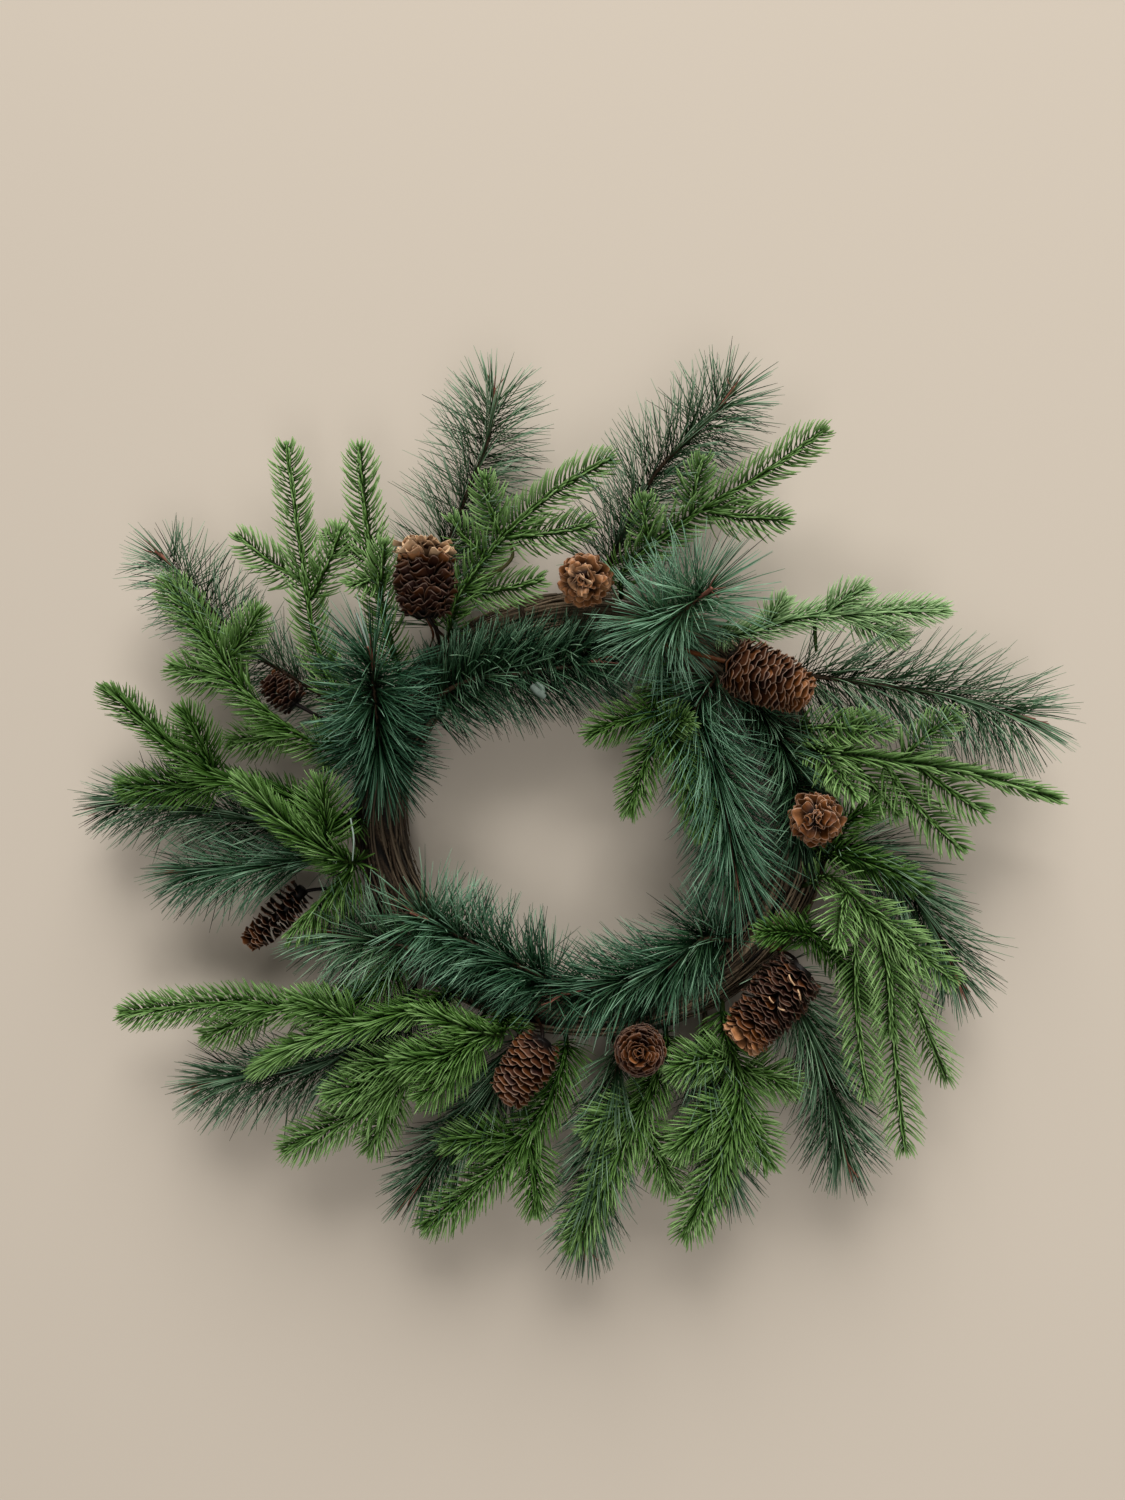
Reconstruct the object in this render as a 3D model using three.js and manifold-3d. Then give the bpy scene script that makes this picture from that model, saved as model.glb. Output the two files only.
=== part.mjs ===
// An evergreen wreath lying on its back: a ring of twisted grapevine, long-needled pine sprays,
// short-needled spruce sprays and nine real cones.
// Millimetres, +Z up. The wreath's front faces up, and its top is toward +Y.
import * as THREE from 'three';
import { mergeVertices } from 'three/addons/utils/BufferGeometryUtils.js';
import Module from 'manifold-3d';

const wasm = await Module();
wasm.setup();

// ---- Driving dimensions -------------------------------------------------------------------

// The ring is a slightly squashed oval, measured along the middle of its bundle of vines.
const RING_HALF_WIDTH = 160;
const RING_HALF_HEIGHT = 146;
const RING_Z = 21;

const VINE_RADIUS = 5.6;
const VINE_SPACING = 12.3;
const VINE_SWELL = 0.03;
const VINE_END_CUT = 0.05;
const VINES_AROUND = 6;
const VINE_TWISTS = 2;
const VINE_SIDES = 5;
const VINE_STEPS = 24;

const BINDING_RADIUS = 1.7;
const BINDING_LOOP = 20.5;
const BINDING_CLOCKS = [107, 213, 327];

// The oval's middle lies this far from the middle of the whole wreath.
const RING_OFFSET_X = 27.5;
const RING_OFFSET_Y = -6;

// Gap kept between pieces that touch on the real wreath.
const GAP = 0.35;
const BUNDLE_RADIUS = VINE_SPACING + VINE_RADIUS * (1 + VINE_SWELL);

// The clear hole in the middle, round the oval's own middle.
const HOLE = { left: -110, right: 12, bottom: -44, top: 46 };

const PINE = {
  needle: 51,
  lean: 50,
  pitch: 17,
  bare: 16,
  tip: 12,
  root: 1.7,
  end: 1.1,
  color: 0x2f5f57,
};
const SPRUCE = {
  needle: 21,
  lean: 56,
  pitch: 27,
  bare: 14,
  tip: 4,
  root: 1.6,
  end: 1.0,
  color: 0x3c7a3a,
};

// Rows of needles grow from short collars on a three-sided stem.
const STEM_SIDES = 3;
const COLLAR = 1.3;
const TWIG_BARE = 9;
const NEEDLE_FOOT = 1.2;
const OWN_REACH = 7;
const TWIG_SWEEP = 0.12;
const FLOOR_CLEAR = 1.2;

// Sprays. Each has the place of its root on the ring, as a clock angle and an angle round the
// bundle (0 outside, 90 front, 180 inside), the points of its stem, and its side twigs, each
// as the share of the stem where it forks and the place of its tip.
const PINE_SPRAYS = {
  pine_spray_01: { clock: 158, side: 15, stem: [[-215, 92, 36], [-269, 126, 46], [-294, 154, 48], [-336, 196, 44]] },
  pine_spray_02: { clock: 130, side: 20, stem: [[-119, 156, 38], [-93, 231, 50], [-78, 269, 50], [-71, 315, 46]] },
  pine_spray_03: { clock: 88, side: 20, stem: [[18, 186, 46], [49, 247, 52], [81, 279, 54], [106, 309, 50]] },
  pine_spray_04: { clock: 76, side: 70, stem: [[59, 133, 74], [76, 143, 92], [91, 151, 106]] },
  pine_spray_05: { clock: 38, side: 30, stem: [[155, 101, 44], [196, 95, 50], [257, 85, 52], [313, 69, 48]] },
  pine_spray_06: { clock: 352, side: 15, stem: [[184, -20, 42], [217, -37, 46], [248, -78, 46], [264, -114, 42]] },
  pine_spray_07: { clock: 318, side: 20, stem: [[139, -113, 42], [160, -144, 46], [177, -191, 48], [188, -240, 42]] },
  pine_spray_08: { clock: 300, side: 10, stem: [[90, -168, 38], [98, -210, 44], [106, -262, 42]] },
  pine_spray_09: { clock: 277, side: 15, stem: [[28, -177, 44], [19, -227, 48], [13, -262, 48], [5, -306, 44]] },
  pine_spray_10: { clock: 255, side: 15, stem: [[-48, -174, 42], [-65, -207, 46], [-94, -244, 46], [-120, -279, 42]] },
  pine_spray_11: { clock: 226, side: 10, stem: [[-134, -152, 42], [-179, -187, 46], [-239, -200, 48], [-284, -209, 44]] },
  pine_spray_12: { clock: 194, side: 35, stem: [[-189, -39, 50], [-227, -44, 56], [-266, -48, 54], [-308, -51, 48]] },
  pine_spray_13: { clock: 184, side: 5, stem: [[-219, -16, 34], [-274, -7, 38], [-340, 3, 38], [-372, 0, 36]] },
  pine_spray_14: { clock: 168, side: 95, stem: [[-148, 50, 72], [-144, 83, 98], [-142, 111, 112]] },
  pine_spray_15: { clock: 148, side: 115, stem: [[-96, 91, 54], [-77, 97, 58], [-40, 101, 58], [13, 110, 54]] },
  pine_spray_16: { clock: 50, side: 120, stem: [[80, 71, 54], [93, 39, 56], [104, -7, 56], [111, -48, 52]] },
  pine_spray_17: { clock: 318, side: 120, stem: [[86, -89, 54], [72, -103, 56], [44, -116, 57], [-12, -130, 54]] },
  pine_spray_18: { clock: 262, side: 115, stem: [[-25, -121, 54], [-58, -106, 56], [-87, -92, 58], [-124, -75, 54]] },
  pine_spray_19: { clock: 230, side: 70, stem: [[-111, -107, 52], [-133, -100, 56], [-174, -94, 56], [-199, -88, 54]] },
};
const SPRUCE_SPRAYS = {
  spruce_spray_01: {
    clock: 152, side: 40, stem: [[-179, 80, 56], [-199, 117, 62], [-214, 192, 64], [-229, 273, 60]],
    twigs: [[0.55, -264, 204, 60], [0.48, -182, 206, 68]],
  },
  spruce_spray_02: {
    clock: 144, side: 50, stem: [[-143, 117, 60], [-156, 176, 66], [-167, 236, 64], [-172, 270, 60]],
    twigs: [[0.55, -197, 208, 56], [0.4, -145, 192, 80], [0.46, -169, 162, 84]],
  },
  spruce_spray_03: {
    clock: 166, side: 50, stem: [[-195, 46, 66], [-247, 84, 78], [-288, 135, 74], [-319, 170, 66]],
    twigs: [[0.29, -266, 49, 58], [0.56, -308, 103, 72], [0.62, -237, 143, 84]],
  },
  spruce_spray_04: {
    clock: 180, side: 45, stem: [[-179, -12, 58], [-219, 9, 66], [-276, 23, 70], [-362, 86, 66]],
    twigs: [[0.54, -293, 70, 82], [0.5, -348, 13, 66]],
  },
  spruce_spray_05: {
    clock: 192, side: 70, stem: [[-165, -39, 78], [-200, -20, 88], [-245, 17, 84]],
    twigs: [[0.43, -182, 18, 96], [0.22, -210, -90, 72]],
  },
  spruce_spray_06: {
    clock: 128, side: 50, stem: [[-95, 154, 60], [-62, 196, 68], [-26, 229, 68], [17, 257, 62]],
    twigs: [[0.51, 4, 209, 60], [0.5, -71, 239, 82], [0.4, -96, 210, 76], [0.24, -33, 169, 58]],
  },
  spruce_spray_07: {
    clock: 82, side: 40, stem: [[29, 175, 62], [79, 213, 70], [124, 240, 68], [168, 273, 62]],
    twigs: [[0.5, 142, 211, 60], [0.46, 84, 247, 84], [0.28, 44, 221, 82]],
  },
  spruce_spray_08: {
    clock: 58, side: 40, stem: [[111, 128, 60], [146, 138, 64], [180, 141, 66], [252, 145, 60]],
    twigs: [[0.53, 196, 158, 74], [0.3, 142, 150, 76], [0.62, 225, 125, 60]],
  },
  spruce_spray_09: {
    clock: 16, side: 40, stem: [[171, 45, 60], [221, 38, 66], [261, 33, 64], [326, 15, 58]],
    twigs: [[0.42, 256, 70, 72], [0.48, 277, 5, 62], [0.36, 264, -21, 56], [0.22, 197, 70, 72], [0.18, 190, 14, 78]],
  },
  spruce_spray_10: { clock: 348, side: 55, stem: [[178, -25, 60], [195, -30, 64], [239, -47, 60]], twigs: [] },
  spruce_spray_11: {
    clock: 341, side: 70, stem: [[174, -42, 66], [207, -73, 72], [230, -123, 70], [252, -176, 62]],
    twigs: [[0.42, 254, -108, 76], [0.5, 226, -226, 58], [0.3, 200, -189, 66], [0.25, 177, -84, 92]],
  },
  spruce_spray_12: {
    clock: 331, side: 60, stem: [[158, -78, 56], [184, -102, 58], [202, -130, 54]],
    twigs: [[0.34, 125, -80, 80]],
  },
  spruce_spray_13: {
    clock: 305, side: 25, stem: [[103, -150, 45], [115, -190, 62], [104, -231, 66], [77, -293, 58]],
    twigs: [[0.45, 134, -241, 58], [0.42, 70, -233, 70], [0.3, 152, -187, 60], [0.26, 66, -178, 66]],
  },
  spruce_spray_14: {
    clock: 290, side: 20, stem: [[62, -165, 43], [52, -194, 56], [28, -243, 62], [-3, -306, 58]],
    twigs: [[0.42, 67, -263, 56], [0.36, 8, -225, 64]],
  },
  spruce_spray_15: {
    clock: 266, side: 25, stem: [[-10, -172, 46], [-20, -205, 58], [-54, -251, 62], [-108, -299, 56]],
    twigs: [[0.48, -92, -236, 68], [0.45, -29, -284, 56]],
  },
  spruce_spray_16: {
    clock: 246, side: 35, stem: [[-85, -169, 58], [-120, -188, 66], [-152, -215, 68], [-213, -250, 60]],
    twigs: [[0.47, -150, -246, 60], [0.45, -176, -205, 78]],
  },
  spruce_spray_17: {
    clock: 238, side: 55, stem: [[-105, -140, 70], [-136, -149, 78], [-198, -170, 78], [-233, -190, 72]],
    twigs: [[0.5, -201, -137, 86]],
  },
  spruce_spray_18: {
    clock: 220, side: 30, stem: [[-150, -133, 54], [-205, -148, 60], [-250, -145, 62], [-344, -157, 58]],
    twigs: [[0.5, -278, -170, 60]],
  },
  spruce_spray_19: {
    clock: 250, side: 70, stem: [[-53, -157, 76], [-80, -150, 86], [-109, -141, 86]],
    twigs: [[0.55, -105, -200, 92]],
  },
  spruce_spray_20: {
    clock: 62, side: 130, stem: [[52, 78, 58], [70, 42, 64], [88, -15, 60]],
    twigs: [[0.45, 35, 1, 60], [0.38, 6, 55, 66], [0.45, 77, 65, 84]],
  },
};

// Cones: base and tip of the axis, greatest radius, clock angle where the stalk meets the ring,
// and the angle round the bundle there.
const CONES = {
  cone_1: { base: [-115, 138, 71], tip: [-115, 195, 77], radius: 21, clock: 126, side: 75 },
  cone_2: { base: [-1, 169, 46], tip: [2, 165, 88], radius: 19, clock: 92, side: 65 },
  cone_3: { base: [101, 108, 72], tip: [160, 83, 74], radius: 21, clock: 46, side: 95 },
  cone_4: { base: [166, -3, 48], tip: [162, 0, 92], radius: 19, clock: 1, side: 85 },
  cone_5: { base: [157, -102, 71], tip: [112, -156, 73], radius: 20, clock: 323, side: 60 },
  cone_6: { base: [45, -166, 58], tip: [46, -160, 102], radius: 19, clock: 284, side: 50 },
  cone_7: { base: [-21, -158, 75], tip: [-49, -202, 77], radius: 18.5, clock: 258, side: 70 },
  cone_8: { base: [-214, -61, 34], tip: [-256, -106, 36], radius: 13, clock: 203, side: 5 },
  cone_9: { base: [-216, 76, 56], tip: [-240, 96, 58], radius: 12.5, clock: 162, side: 30 },
};
const CONE_AROUND = 6;
const CONE_ROWS = 8;
const SCALE_RISE = 0.2;
const STALK_RADIUS = 1.8;

// ---- Small helpers ------------------------------------------------------------------------

const radians = THREE.MathUtils.degToRad;
const vector = ([x, y, z]) => new THREE.Vector3(x, y, z);
const Z_AXIS = new THREE.Vector3(0, 0, 1);

let seed = 24;
function random() {
  seed = (seed + 0x6d2b79f5) | 0;
  let t = Math.imul(seed ^ (seed >>> 15), 1 | seed);
  t = (t + Math.imul(t ^ (t >>> 7), 61 | t)) ^ t;
  return ((t ^ (t >>> 14)) >>> 0) / 4294967296;
}
const spread = (amount) => (2 * random() - 1) * amount;

// A point on the ring: clock angle in degrees, and a place round the bundle of vines.
function ringPoint(clock, distance = 0, side = 0) {
  const a = radians(clock);
  const b = radians(side);
  const point = new THREE.Vector3(RING_HALF_WIDTH * Math.cos(a), RING_HALF_HEIGHT * Math.sin(a), RING_Z);
  const outward = new THREE.Vector3(Math.cos(a) / RING_HALF_WIDTH, Math.sin(a) / RING_HALF_HEIGHT, 0).normalize();
  point.addScaledVector(outward, distance * Math.cos(b));
  return point.addScaledVector(Z_AXIS, distance * Math.sin(b));
}

// A closed surface that grows by vertices and triangles.
class Surface {
  constructor() {
    this.positions = [];
    this.triangles = [];
  }

  vertex(point) {
    this.positions.push(point.x, point.y, point.z);
    return this.positions.length / 3 - 1;
  }

  triangle(a, b, c) {
    this.triangles.push(a, b, c);
  }

  // The three sides of a spike that stands on a triangle.
  spike(a, b, c, apex) {
    const tip = this.vertex(apex);
    this.triangle(a, b, tip);
    this.triangle(b, c, tip);
    this.triangle(c, a, tip);
  }

  geometry() {
    const geometry = new THREE.BufferGeometry();
    geometry.setAttribute('position', new THREE.Float32BufferAttribute(this.positions, 3));
    geometry.setIndex(this.triangles);
    return geometry;
  }
}

function solid(geometry) {
  const bare = geometry.clone();
  bare.deleteAttribute('normal');
  bare.deleteAttribute('uv');
  const merged = mergeVertices(bare, 1e-4);
  return new wasm.Manifold(new wasm.Mesh({
    numProp: 3,
    vertProperties: new Float32Array(merged.attributes.position.array),
    triVerts: new Uint32Array(merged.index.array),
  }));
}

function geometryOf(manifold) {
  const { vertProperties, triVerts } = manifold.getMesh();
  const geometry = new THREE.BufferGeometry();
  geometry.setAttribute('position', new THREE.Float32BufferAttribute(vertProperties, 3));
  geometry.setIndex(Array.from(triVerts));
  return geometry;
}

const joined = (geometries) => geometryOf(geometries.map(solid).reduce((a, b) => a.add(b)));

// ---- Room: what needles keep clear of -------------------------------------------------------

// Tapered rods are filed by the cells that they pass, and a needle is tried against its own cells.
const CELL = 14;
const cells = new Map();
let rodCount = 0;

function cellsAlong(rod) {
  const names = new Set();
  const steps = Math.ceil(rod.from.distanceTo(rod.to) / (CELL / 2)) + 1;
  const reach = Math.ceil((rod.thick + 1) / CELL);
  const p = new THREE.Vector3();
  for (let i = 0; i <= steps; i += 1) {
    p.lerpVectors(rod.from, rod.to, i / steps).divideScalar(CELL).floor();
    for (let x = -reach; x <= reach; x += 1) {
      for (let y = -reach; y <= reach; y += 1) {
        for (let z = -reach; z <= reach; z += 1) names.add(`${p.x + x},${p.y + y},${p.z + z}`);
      }
    }
  }
  return names;
}

function addRod(from, to, thick, thin = thick, owner = '') {
  const rod = { from, to, thick, thin, owner, index: rodCount };
  rodCount += 1;
  for (const name of cellsAlong(rod)) {
    if (!cells.has(name)) cells.set(name, []);
    cells.get(name).push(rod);
  }
}

// The closest pair of points on two rods, as shares of their lengths, and their distance.
function closest(a, b) {
  const u = new THREE.Vector3().subVectors(a.to, a.from);
  const v = new THREE.Vector3().subVectors(b.to, b.from);
  const w = new THREE.Vector3().subVectors(a.from, b.from);
  const [uu, uv, vv, uw, vw] = [u.dot(u), u.dot(v), v.dot(v), u.dot(w), v.dot(w)];
  const across = uu * vv - uv * uv;
  const clamp = (x) => Math.min(1, Math.max(0, x));
  let s = across > 1e-6 ? clamp((uv * vw - vv * uw) / across) : 0;
  const t = clamp((uv * s + vw) / vv);
  s = clamp((uv * t - uw) / uu);
  const gap = w.addScaledVector(u, s).addScaledVector(v, -t).length();
  return { s, t, gap };
}

// A needle is tried from close to its foot against other sprays, and from further out against
// the stem and needles of its own.
function isClear(needle, owner) {
  const tried = new Set();
  const p = new THREE.Vector3();
  const steps = Math.ceil(needle.whole.from.distanceTo(needle.whole.to) / (CELL / 2));
  for (let i = 0; i <= steps; i += 1) {
    p.lerpVectors(needle.whole.from, needle.whole.to, i / steps).divideScalar(CELL).floor();
    for (const other of cells.get(`${p.x},${p.y},${p.z}`) ?? []) {
      if (tried.has(other.index)) continue;
      tried.add(other.index);
      const rod = other.owner === owner ? needle.outer : needle.whole;
      const { s, t, gap } = closest(rod, other);
      const thickness = THREE.MathUtils.lerp(rod.thick, rod.thin, s);
      if (gap < thickness + THREE.MathUtils.lerp(other.thick, other.thin, t) + GAP) return false;
    }
  }
  return true;
}

function entersHole(from, to) {
  const p = new THREE.Vector3();
  for (let i = 0; i <= 8; i += 1) {
    p.lerpVectors(from, to, i / 8);
    if (p.x > HOLE.left && p.x < HOLE.right && p.y > HOLE.bottom && p.y < HOLE.top) return true;
  }
  return false;
}

// ---- Ring of vines ----------------------------------------------------------------------------

// One vine goes once round the ring, and its cut ends meet at its own clock angle.
function vineGeometry(distance, turn, start) {
  const rings = [];
  for (let i = 0; i <= VINE_STEPS; i += 1) {
    const clock = start + (360 * i) / VINE_STEPS;
    const centre = ringPoint(clock, distance, turn + clock * VINE_TWISTS);
    const outward = ringPoint(clock, 1).sub(ringPoint(clock));
    const radius = VINE_RADIUS * (1 + VINE_SWELL * Math.sin(radians(3 * clock + turn)));
    rings.push(polygon(centre, outward, Z_AXIS.clone().negate(), radius, VINE_SIDES));
  }
  const last = rings.length - 1;
  rings[0].forEach((point, j) => point.lerp(rings[1][j], VINE_END_CUT));
  rings[last].forEach((point, j) => point.lerp(rings[last - 1][j], VINE_END_CUT));
  const surface = new Surface();
  skinRings(surface, rings.map((ring) => ring.map((point) => surface.vertex(point))));
  return surface.geometry();
}

// The corners of a regular cross-section.
function polygon(centre, across, over, radius, sides, turn = 0) {
  return Array.from({ length: sides }, (_, j) => {
    const a = turn + (2 * Math.PI * j) / sides;
    return centre.clone()
      .addScaledVector(across, radius * Math.cos(a))
      .addScaledVector(over, radius * Math.sin(a));
  });
}

// Side walls between rings of vertices, and a flat cap on each end.
function skinRings(surface, rings) {
  const sides = rings[0].length;
  for (let i = 1; i < rings.length; i += 1) {
    for (let j = 0; j < sides; j += 1) {
      const k = (j + 1) % sides;
      surface.triangle(rings[i - 1][j], rings[i - 1][k], rings[i][k]);
      surface.triangle(rings[i - 1][j], rings[i][k], rings[i][j]);
    }
  }
  const last = rings[rings.length - 1];
  for (let j = 1; j < sides - 1; j += 1) {
    surface.triangle(rings[0][0], rings[0][j + 1], rings[0][j]);
    surface.triangle(last[0], last[j], last[j + 1]);
  }
}

// A thin vine tied once round the bundle. What it rests on is flat.
function bindingGeometry(clock) {
  const steps = 16;
  const surface = new Surface();
  const rings = [];
  const along = ringPoint(clock + 1).sub(ringPoint(clock - 1)).normalize();
  for (let i = 0; i < steps; i += 1) {
    const side = (360 * (i + 0.5)) / steps;
    const centre = ringPoint(clock, BINDING_LOOP, side);
    const away = centre.clone().sub(ringPoint(clock)).normalize();
    const section = polygon(centre, away, along, BINDING_RADIUS * Math.SQRT2, 4, Math.PI / 4);
    rings.push(section.map((point) => surface.vertex(point)));
  }
  for (let i = 0; i < steps; i += 1) {
    for (let j = 0; j < 4; j += 1) {
      const [a, b] = [rings[i], rings[(i + 1) % steps]];
      surface.triangle(a[j], a[(j + 1) % 4], b[(j + 1) % 4]);
      surface.triangle(a[j], b[(j + 1) % 4], b[j]);
    }
  }
  const below = new THREE.BoxGeometry(900, 900, 10);
  below.translate(0, 0, -5);
  return geometryOf(solid(surface.geometry()).subtract(solid(below)));
}

// ---- Sprays -------------------------------------------------------------------------------------

const smoothCurve = (points) => new THREE.CatmullRomCurve3(points, false, 'centripetal');

// The stem from the ring, and the side twigs, which fork wide and then turn with the stem.
function sprayCurves({ clock, side, stem, twigs = [] }, kind) {
  const root = ringPoint(clock, BUNDLE_RADIUS + kind.root + GAP, side);
  const main = smoothCurve([root, ...stem.map(vector)]);
  const curves = [main];
  for (const [share, ...tip] of twigs) {
    const fork = main.getPointAt(share);
    const end = vector(tip);
    const bend = fork.clone().lerp(end, 0.5);
    bend.addScaledVector(main.getTangentAt(share), -TWIG_SWEEP * fork.distanceTo(end));
    curves.push(new THREE.QuadraticBezierCurve3(fork, bend, end));
  }
  return curves;
}

function addStemRods(curve, kind, owner) {
  const points = curve.getSpacedPoints(Math.ceil(curve.getLength() / 8));
  for (let i = 1; i < points.length; i += 1) addRod(points[i - 1], points[i], kind.root, kind.root, owner);
}

// A needle from its foot to its tip, and its outer part alone.
function needleRods(foot, apex, length) {
  const part = (distance) => ({
    from: foot.clone().lerp(apex, distance / length),
    to: apex,
    thick: NEEDLE_FOOT * (1 - distance / length),
    thin: 0.05,
  });
  return { whole: part(1), outer: part(OWN_REACH) };
}

// Where a needle points: it leans from the stem, and is bent clear of all that stands near.
function aimNeedle(stem, around, reach, owner) {
  for (let attempt = 0; attempt < 16; attempt += 1) {
    const loose = 6 + attempt * 1.2;
    const angle = radians(around + spread(loose));
    const lean = radians(THREE.MathUtils.clamp(reach.lean + spread(loose), 20, 80));
    const out = stem.normal.clone().multiplyScalar(Math.cos(angle)).addScaledVector(stem.binormal, Math.sin(angle));
    const direction = out.clone().multiplyScalar(Math.sin(lean)).addScaledVector(stem.tangent, Math.cos(lean));
    const length = reach.length * (1 + spread(0.07)) * (attempt > 11 ? 0.8 : 1);
    const foot = stem.centre.clone().addScaledVector(out, stem.radius * 0.5);
    const apex = foot.clone().addScaledVector(direction, length);
    apex.z = Math.max(apex.z, FLOOR_CLEAR + 4 * random());
    const needle = needleRods(foot, apex, length);
    if (!entersHole(needle.whole.from, apex) && isClear(needle, owner)) {
      addRod(needle.whole.from, apex, needle.whole.thick, needle.whole.thin, owner);
      return apex;
    }
  }
  return null;
}

// Cross-sections of a stem: one at each end, one at each fork, and two close together at each
// whorl of needles.
function stemSections(curve, kind, bare, forks) {
  const length = curve.getLength();
  const stations = [{ at: 0, turn: 0 }];
  const whorls = Math.max(1, Math.round((length - bare - kind.tip) / kind.pitch));
  for (let i = 0; i <= whorls; i += 1) {
    const at = bare + ((length - bare - kind.tip - COLLAR) * i) / whorls;
    stations.push({ at, turn: 30 * i, share: i / whorls });
    stations.push({ at: at + COLLAR, turn: 30 * i });
  }
  stations.push({ at: length, turn: 30 * whorls });
  for (const share of forks) addForkSection(stations, share * length);
  let normal = Z_AXIS.clone();
  for (const station of stations) {
    const u = Math.min(1, station.at / length);
    station.centre = curve.getPointAt(u);
    station.tangent = curve.getTangentAt(u);
    normal = normal.clone().addScaledVector(station.tangent, -normal.dot(station.tangent)).normalize();
    station.normal = normal;
    station.binormal = new THREE.Vector3().crossVectors(station.tangent, normal);
    station.radius = THREE.MathUtils.lerp(kind.root, kind.end, u);
  }
  return stations;
}

// A fork stays a little clear of the collars beside it.
function addForkSection(stations, at) {
  const next = stations.findIndex((station) => station.at > at);
  const [before, after] = [stations[next - 1], stations[next]];
  if (before.share !== undefined || at - before.at < 1 || after.at - at < 1) return;
  const share = (at - before.at) / (after.at - before.at);
  stations.splice(next, 0, { at, turn: THREE.MathUtils.lerp(before.turn, after.turn, share) });
}

// A stem or twig with its needles, as one closed surface: each needle stands on a triangle of
// a collar.
function needledStem(curve, kind, bare, forks, owner) {
  const surface = new Surface();
  const stations = stemSections(curve, kind, bare, forks);
  const rings = stations.map(({ centre, normal, binormal, radius, turn }) => (
    polygon(centre, normal, binormal, radius, STEM_SIDES, radians(turn)).map((point) => surface.vertex(point))
  ));
  for (let i = 1; i < rings.length; i += 1) {
    const lower = stations[i - 1];
    for (let j = 0; j < STEM_SIDES; j += 1) {
      const k = (j + 1) % STEM_SIDES;
      const middle = lower.turn + (360 * (j + 0.5)) / STEM_SIDES;
      const faces = [
        [rings[i - 1][j], rings[i - 1][k], rings[i][k], middle + 30, 11],
        [rings[i - 1][j], rings[i][k], rings[i][j], middle - 30, -11],
      ];
      for (const [a, b, c, around, steeper] of faces) {
        const apex = lower.share === undefined ? null : needleApex(lower, around, steeper, kind, owner);
        if (apex) surface.spike(a, b, c, apex);
        else surface.triangle(a, b, c);
      }
    }
  }
  surface.triangle(rings[0][0], rings[0][2], rings[0][1]);
  const last = rings[rings.length - 1];
  surface.triangle(last[0], last[1], last[2]);
  return surface.geometry();
}

// Needles are a little shorter and closer to the stem at its tip.
function needleApex(station, around, steeper, kind, owner) {
  const toTip = Math.max(0, (station.share - 0.7) / 0.3);
  const reach = { lean: kind.lean + steeper - 18 * toTip, length: kind.needle * (1 - 0.15 * toTip) };
  return aimNeedle(station, around, reach, owner);
}

function sprayGeometry({ name, kind, spray, curves }) {
  const [main, ...twigs] = curves;
  const forks = (spray.twigs ?? []).map(([share]) => share);
  return joined([
    needledStem(main, kind, kind.bare, forks, name),
    ...twigs.map((twig) => needledStem(twig, kind, TWIG_BARE, [], name)),
  ]);
}

// ---- Cones ------------------------------------------------------------------------------------

// Half the width of a cone at a share of its length, widest below the middle.
const coneWidth = (share) => Math.sin(Math.PI * Math.min(1, 0.1 + 0.86 * share ** 0.82)) ** 0.62;

function coneFrame({ base, tip }) {
  const from = vector(base);
  const axis = vector(tip).sub(from);
  const length = axis.length();
  axis.normalize();
  const across = new THREE.Vector3().crossVectors(axis, Math.abs(axis.z) > 0.8 ? new THREE.Vector3(0, 1, 0) : Z_AXIS);
  across.normalize();
  return { from, axis, length, across, over: new THREE.Vector3().crossVectors(axis, across) };
}

// Lozenge-shaped scales in spiral rows. Each lozenge is raised to a lip that leans to the tip.
function coneBody(cone) {
  const { from, axis, length, across, over } = coneFrame(cone);
  const surface = new Surface();
  const place = (share, turn, reach) => {
    const a = (2 * Math.PI * turn) / CONE_AROUND;
    return from.clone()
      .addScaledVector(axis, length * share)
      .addScaledVector(across, reach * Math.cos(a))
      .addScaledVector(over, reach * Math.sin(a));
  };
  const core = cone.radius * 0.8;
  const rows = [];
  for (let i = 0; i <= CONE_ROWS; i += 1) {
    const share = 0.02 + (0.96 * i) / CONE_ROWS;
    const row = [];
    for (let j = 0; j < CONE_AROUND; j += 1) {
      row.push(surface.vertex(place(share, j + (i % 2) / 2, core * coneWidth(share))));
    }
    rows.push(row);
  }
  const at = (i, j) => rows[i][(j + CONE_AROUND) % CONE_AROUND];
  for (let i = 1; i < CONE_ROWS; i += 1) {
    const share = 0.02 + (0.96 * (i + 0.35)) / CONE_ROWS;
    for (let j = 0; j < CONE_AROUND; j += 1) {
      const odd = i % 2;
      const reach = core * coneWidth(share) + cone.radius * SCALE_RISE * (1 + 0.15 * spread(1));
      const lip = surface.vertex(place(share, j + odd / 2 + 0.5, reach));
      const [left, right] = [at(i, j), at(i, j + 1)];
      const [low, high] = [at(i - 1, j + odd), at(i + 1, j + odd)];
      surface.triangle(low, right, lip);
      surface.triangle(right, high, lip);
      surface.triangle(high, left, lip);
      surface.triangle(left, low, lip);
    }
  }
  const bottom = surface.vertex(place(0, 0, 0));
  const top = surface.vertex(place(1, 0, 0));
  for (let j = 0; j < CONE_AROUND; j += 1) {
    const odd = CONE_ROWS % 2;
    surface.triangle(at(0, j), bottom, at(0, j + 1));
    surface.triangle(at(CONE_ROWS, j), at(CONE_ROWS, j + 1), top);
    surface.triangle(at(0, j), at(0, j + 1), at(1, j));
    surface.triangle(at(CONE_ROWS, j + 1), at(CONE_ROWS, j), at(CONE_ROWS - 1, j + odd));
  }
  return surface.geometry();
}

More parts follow.
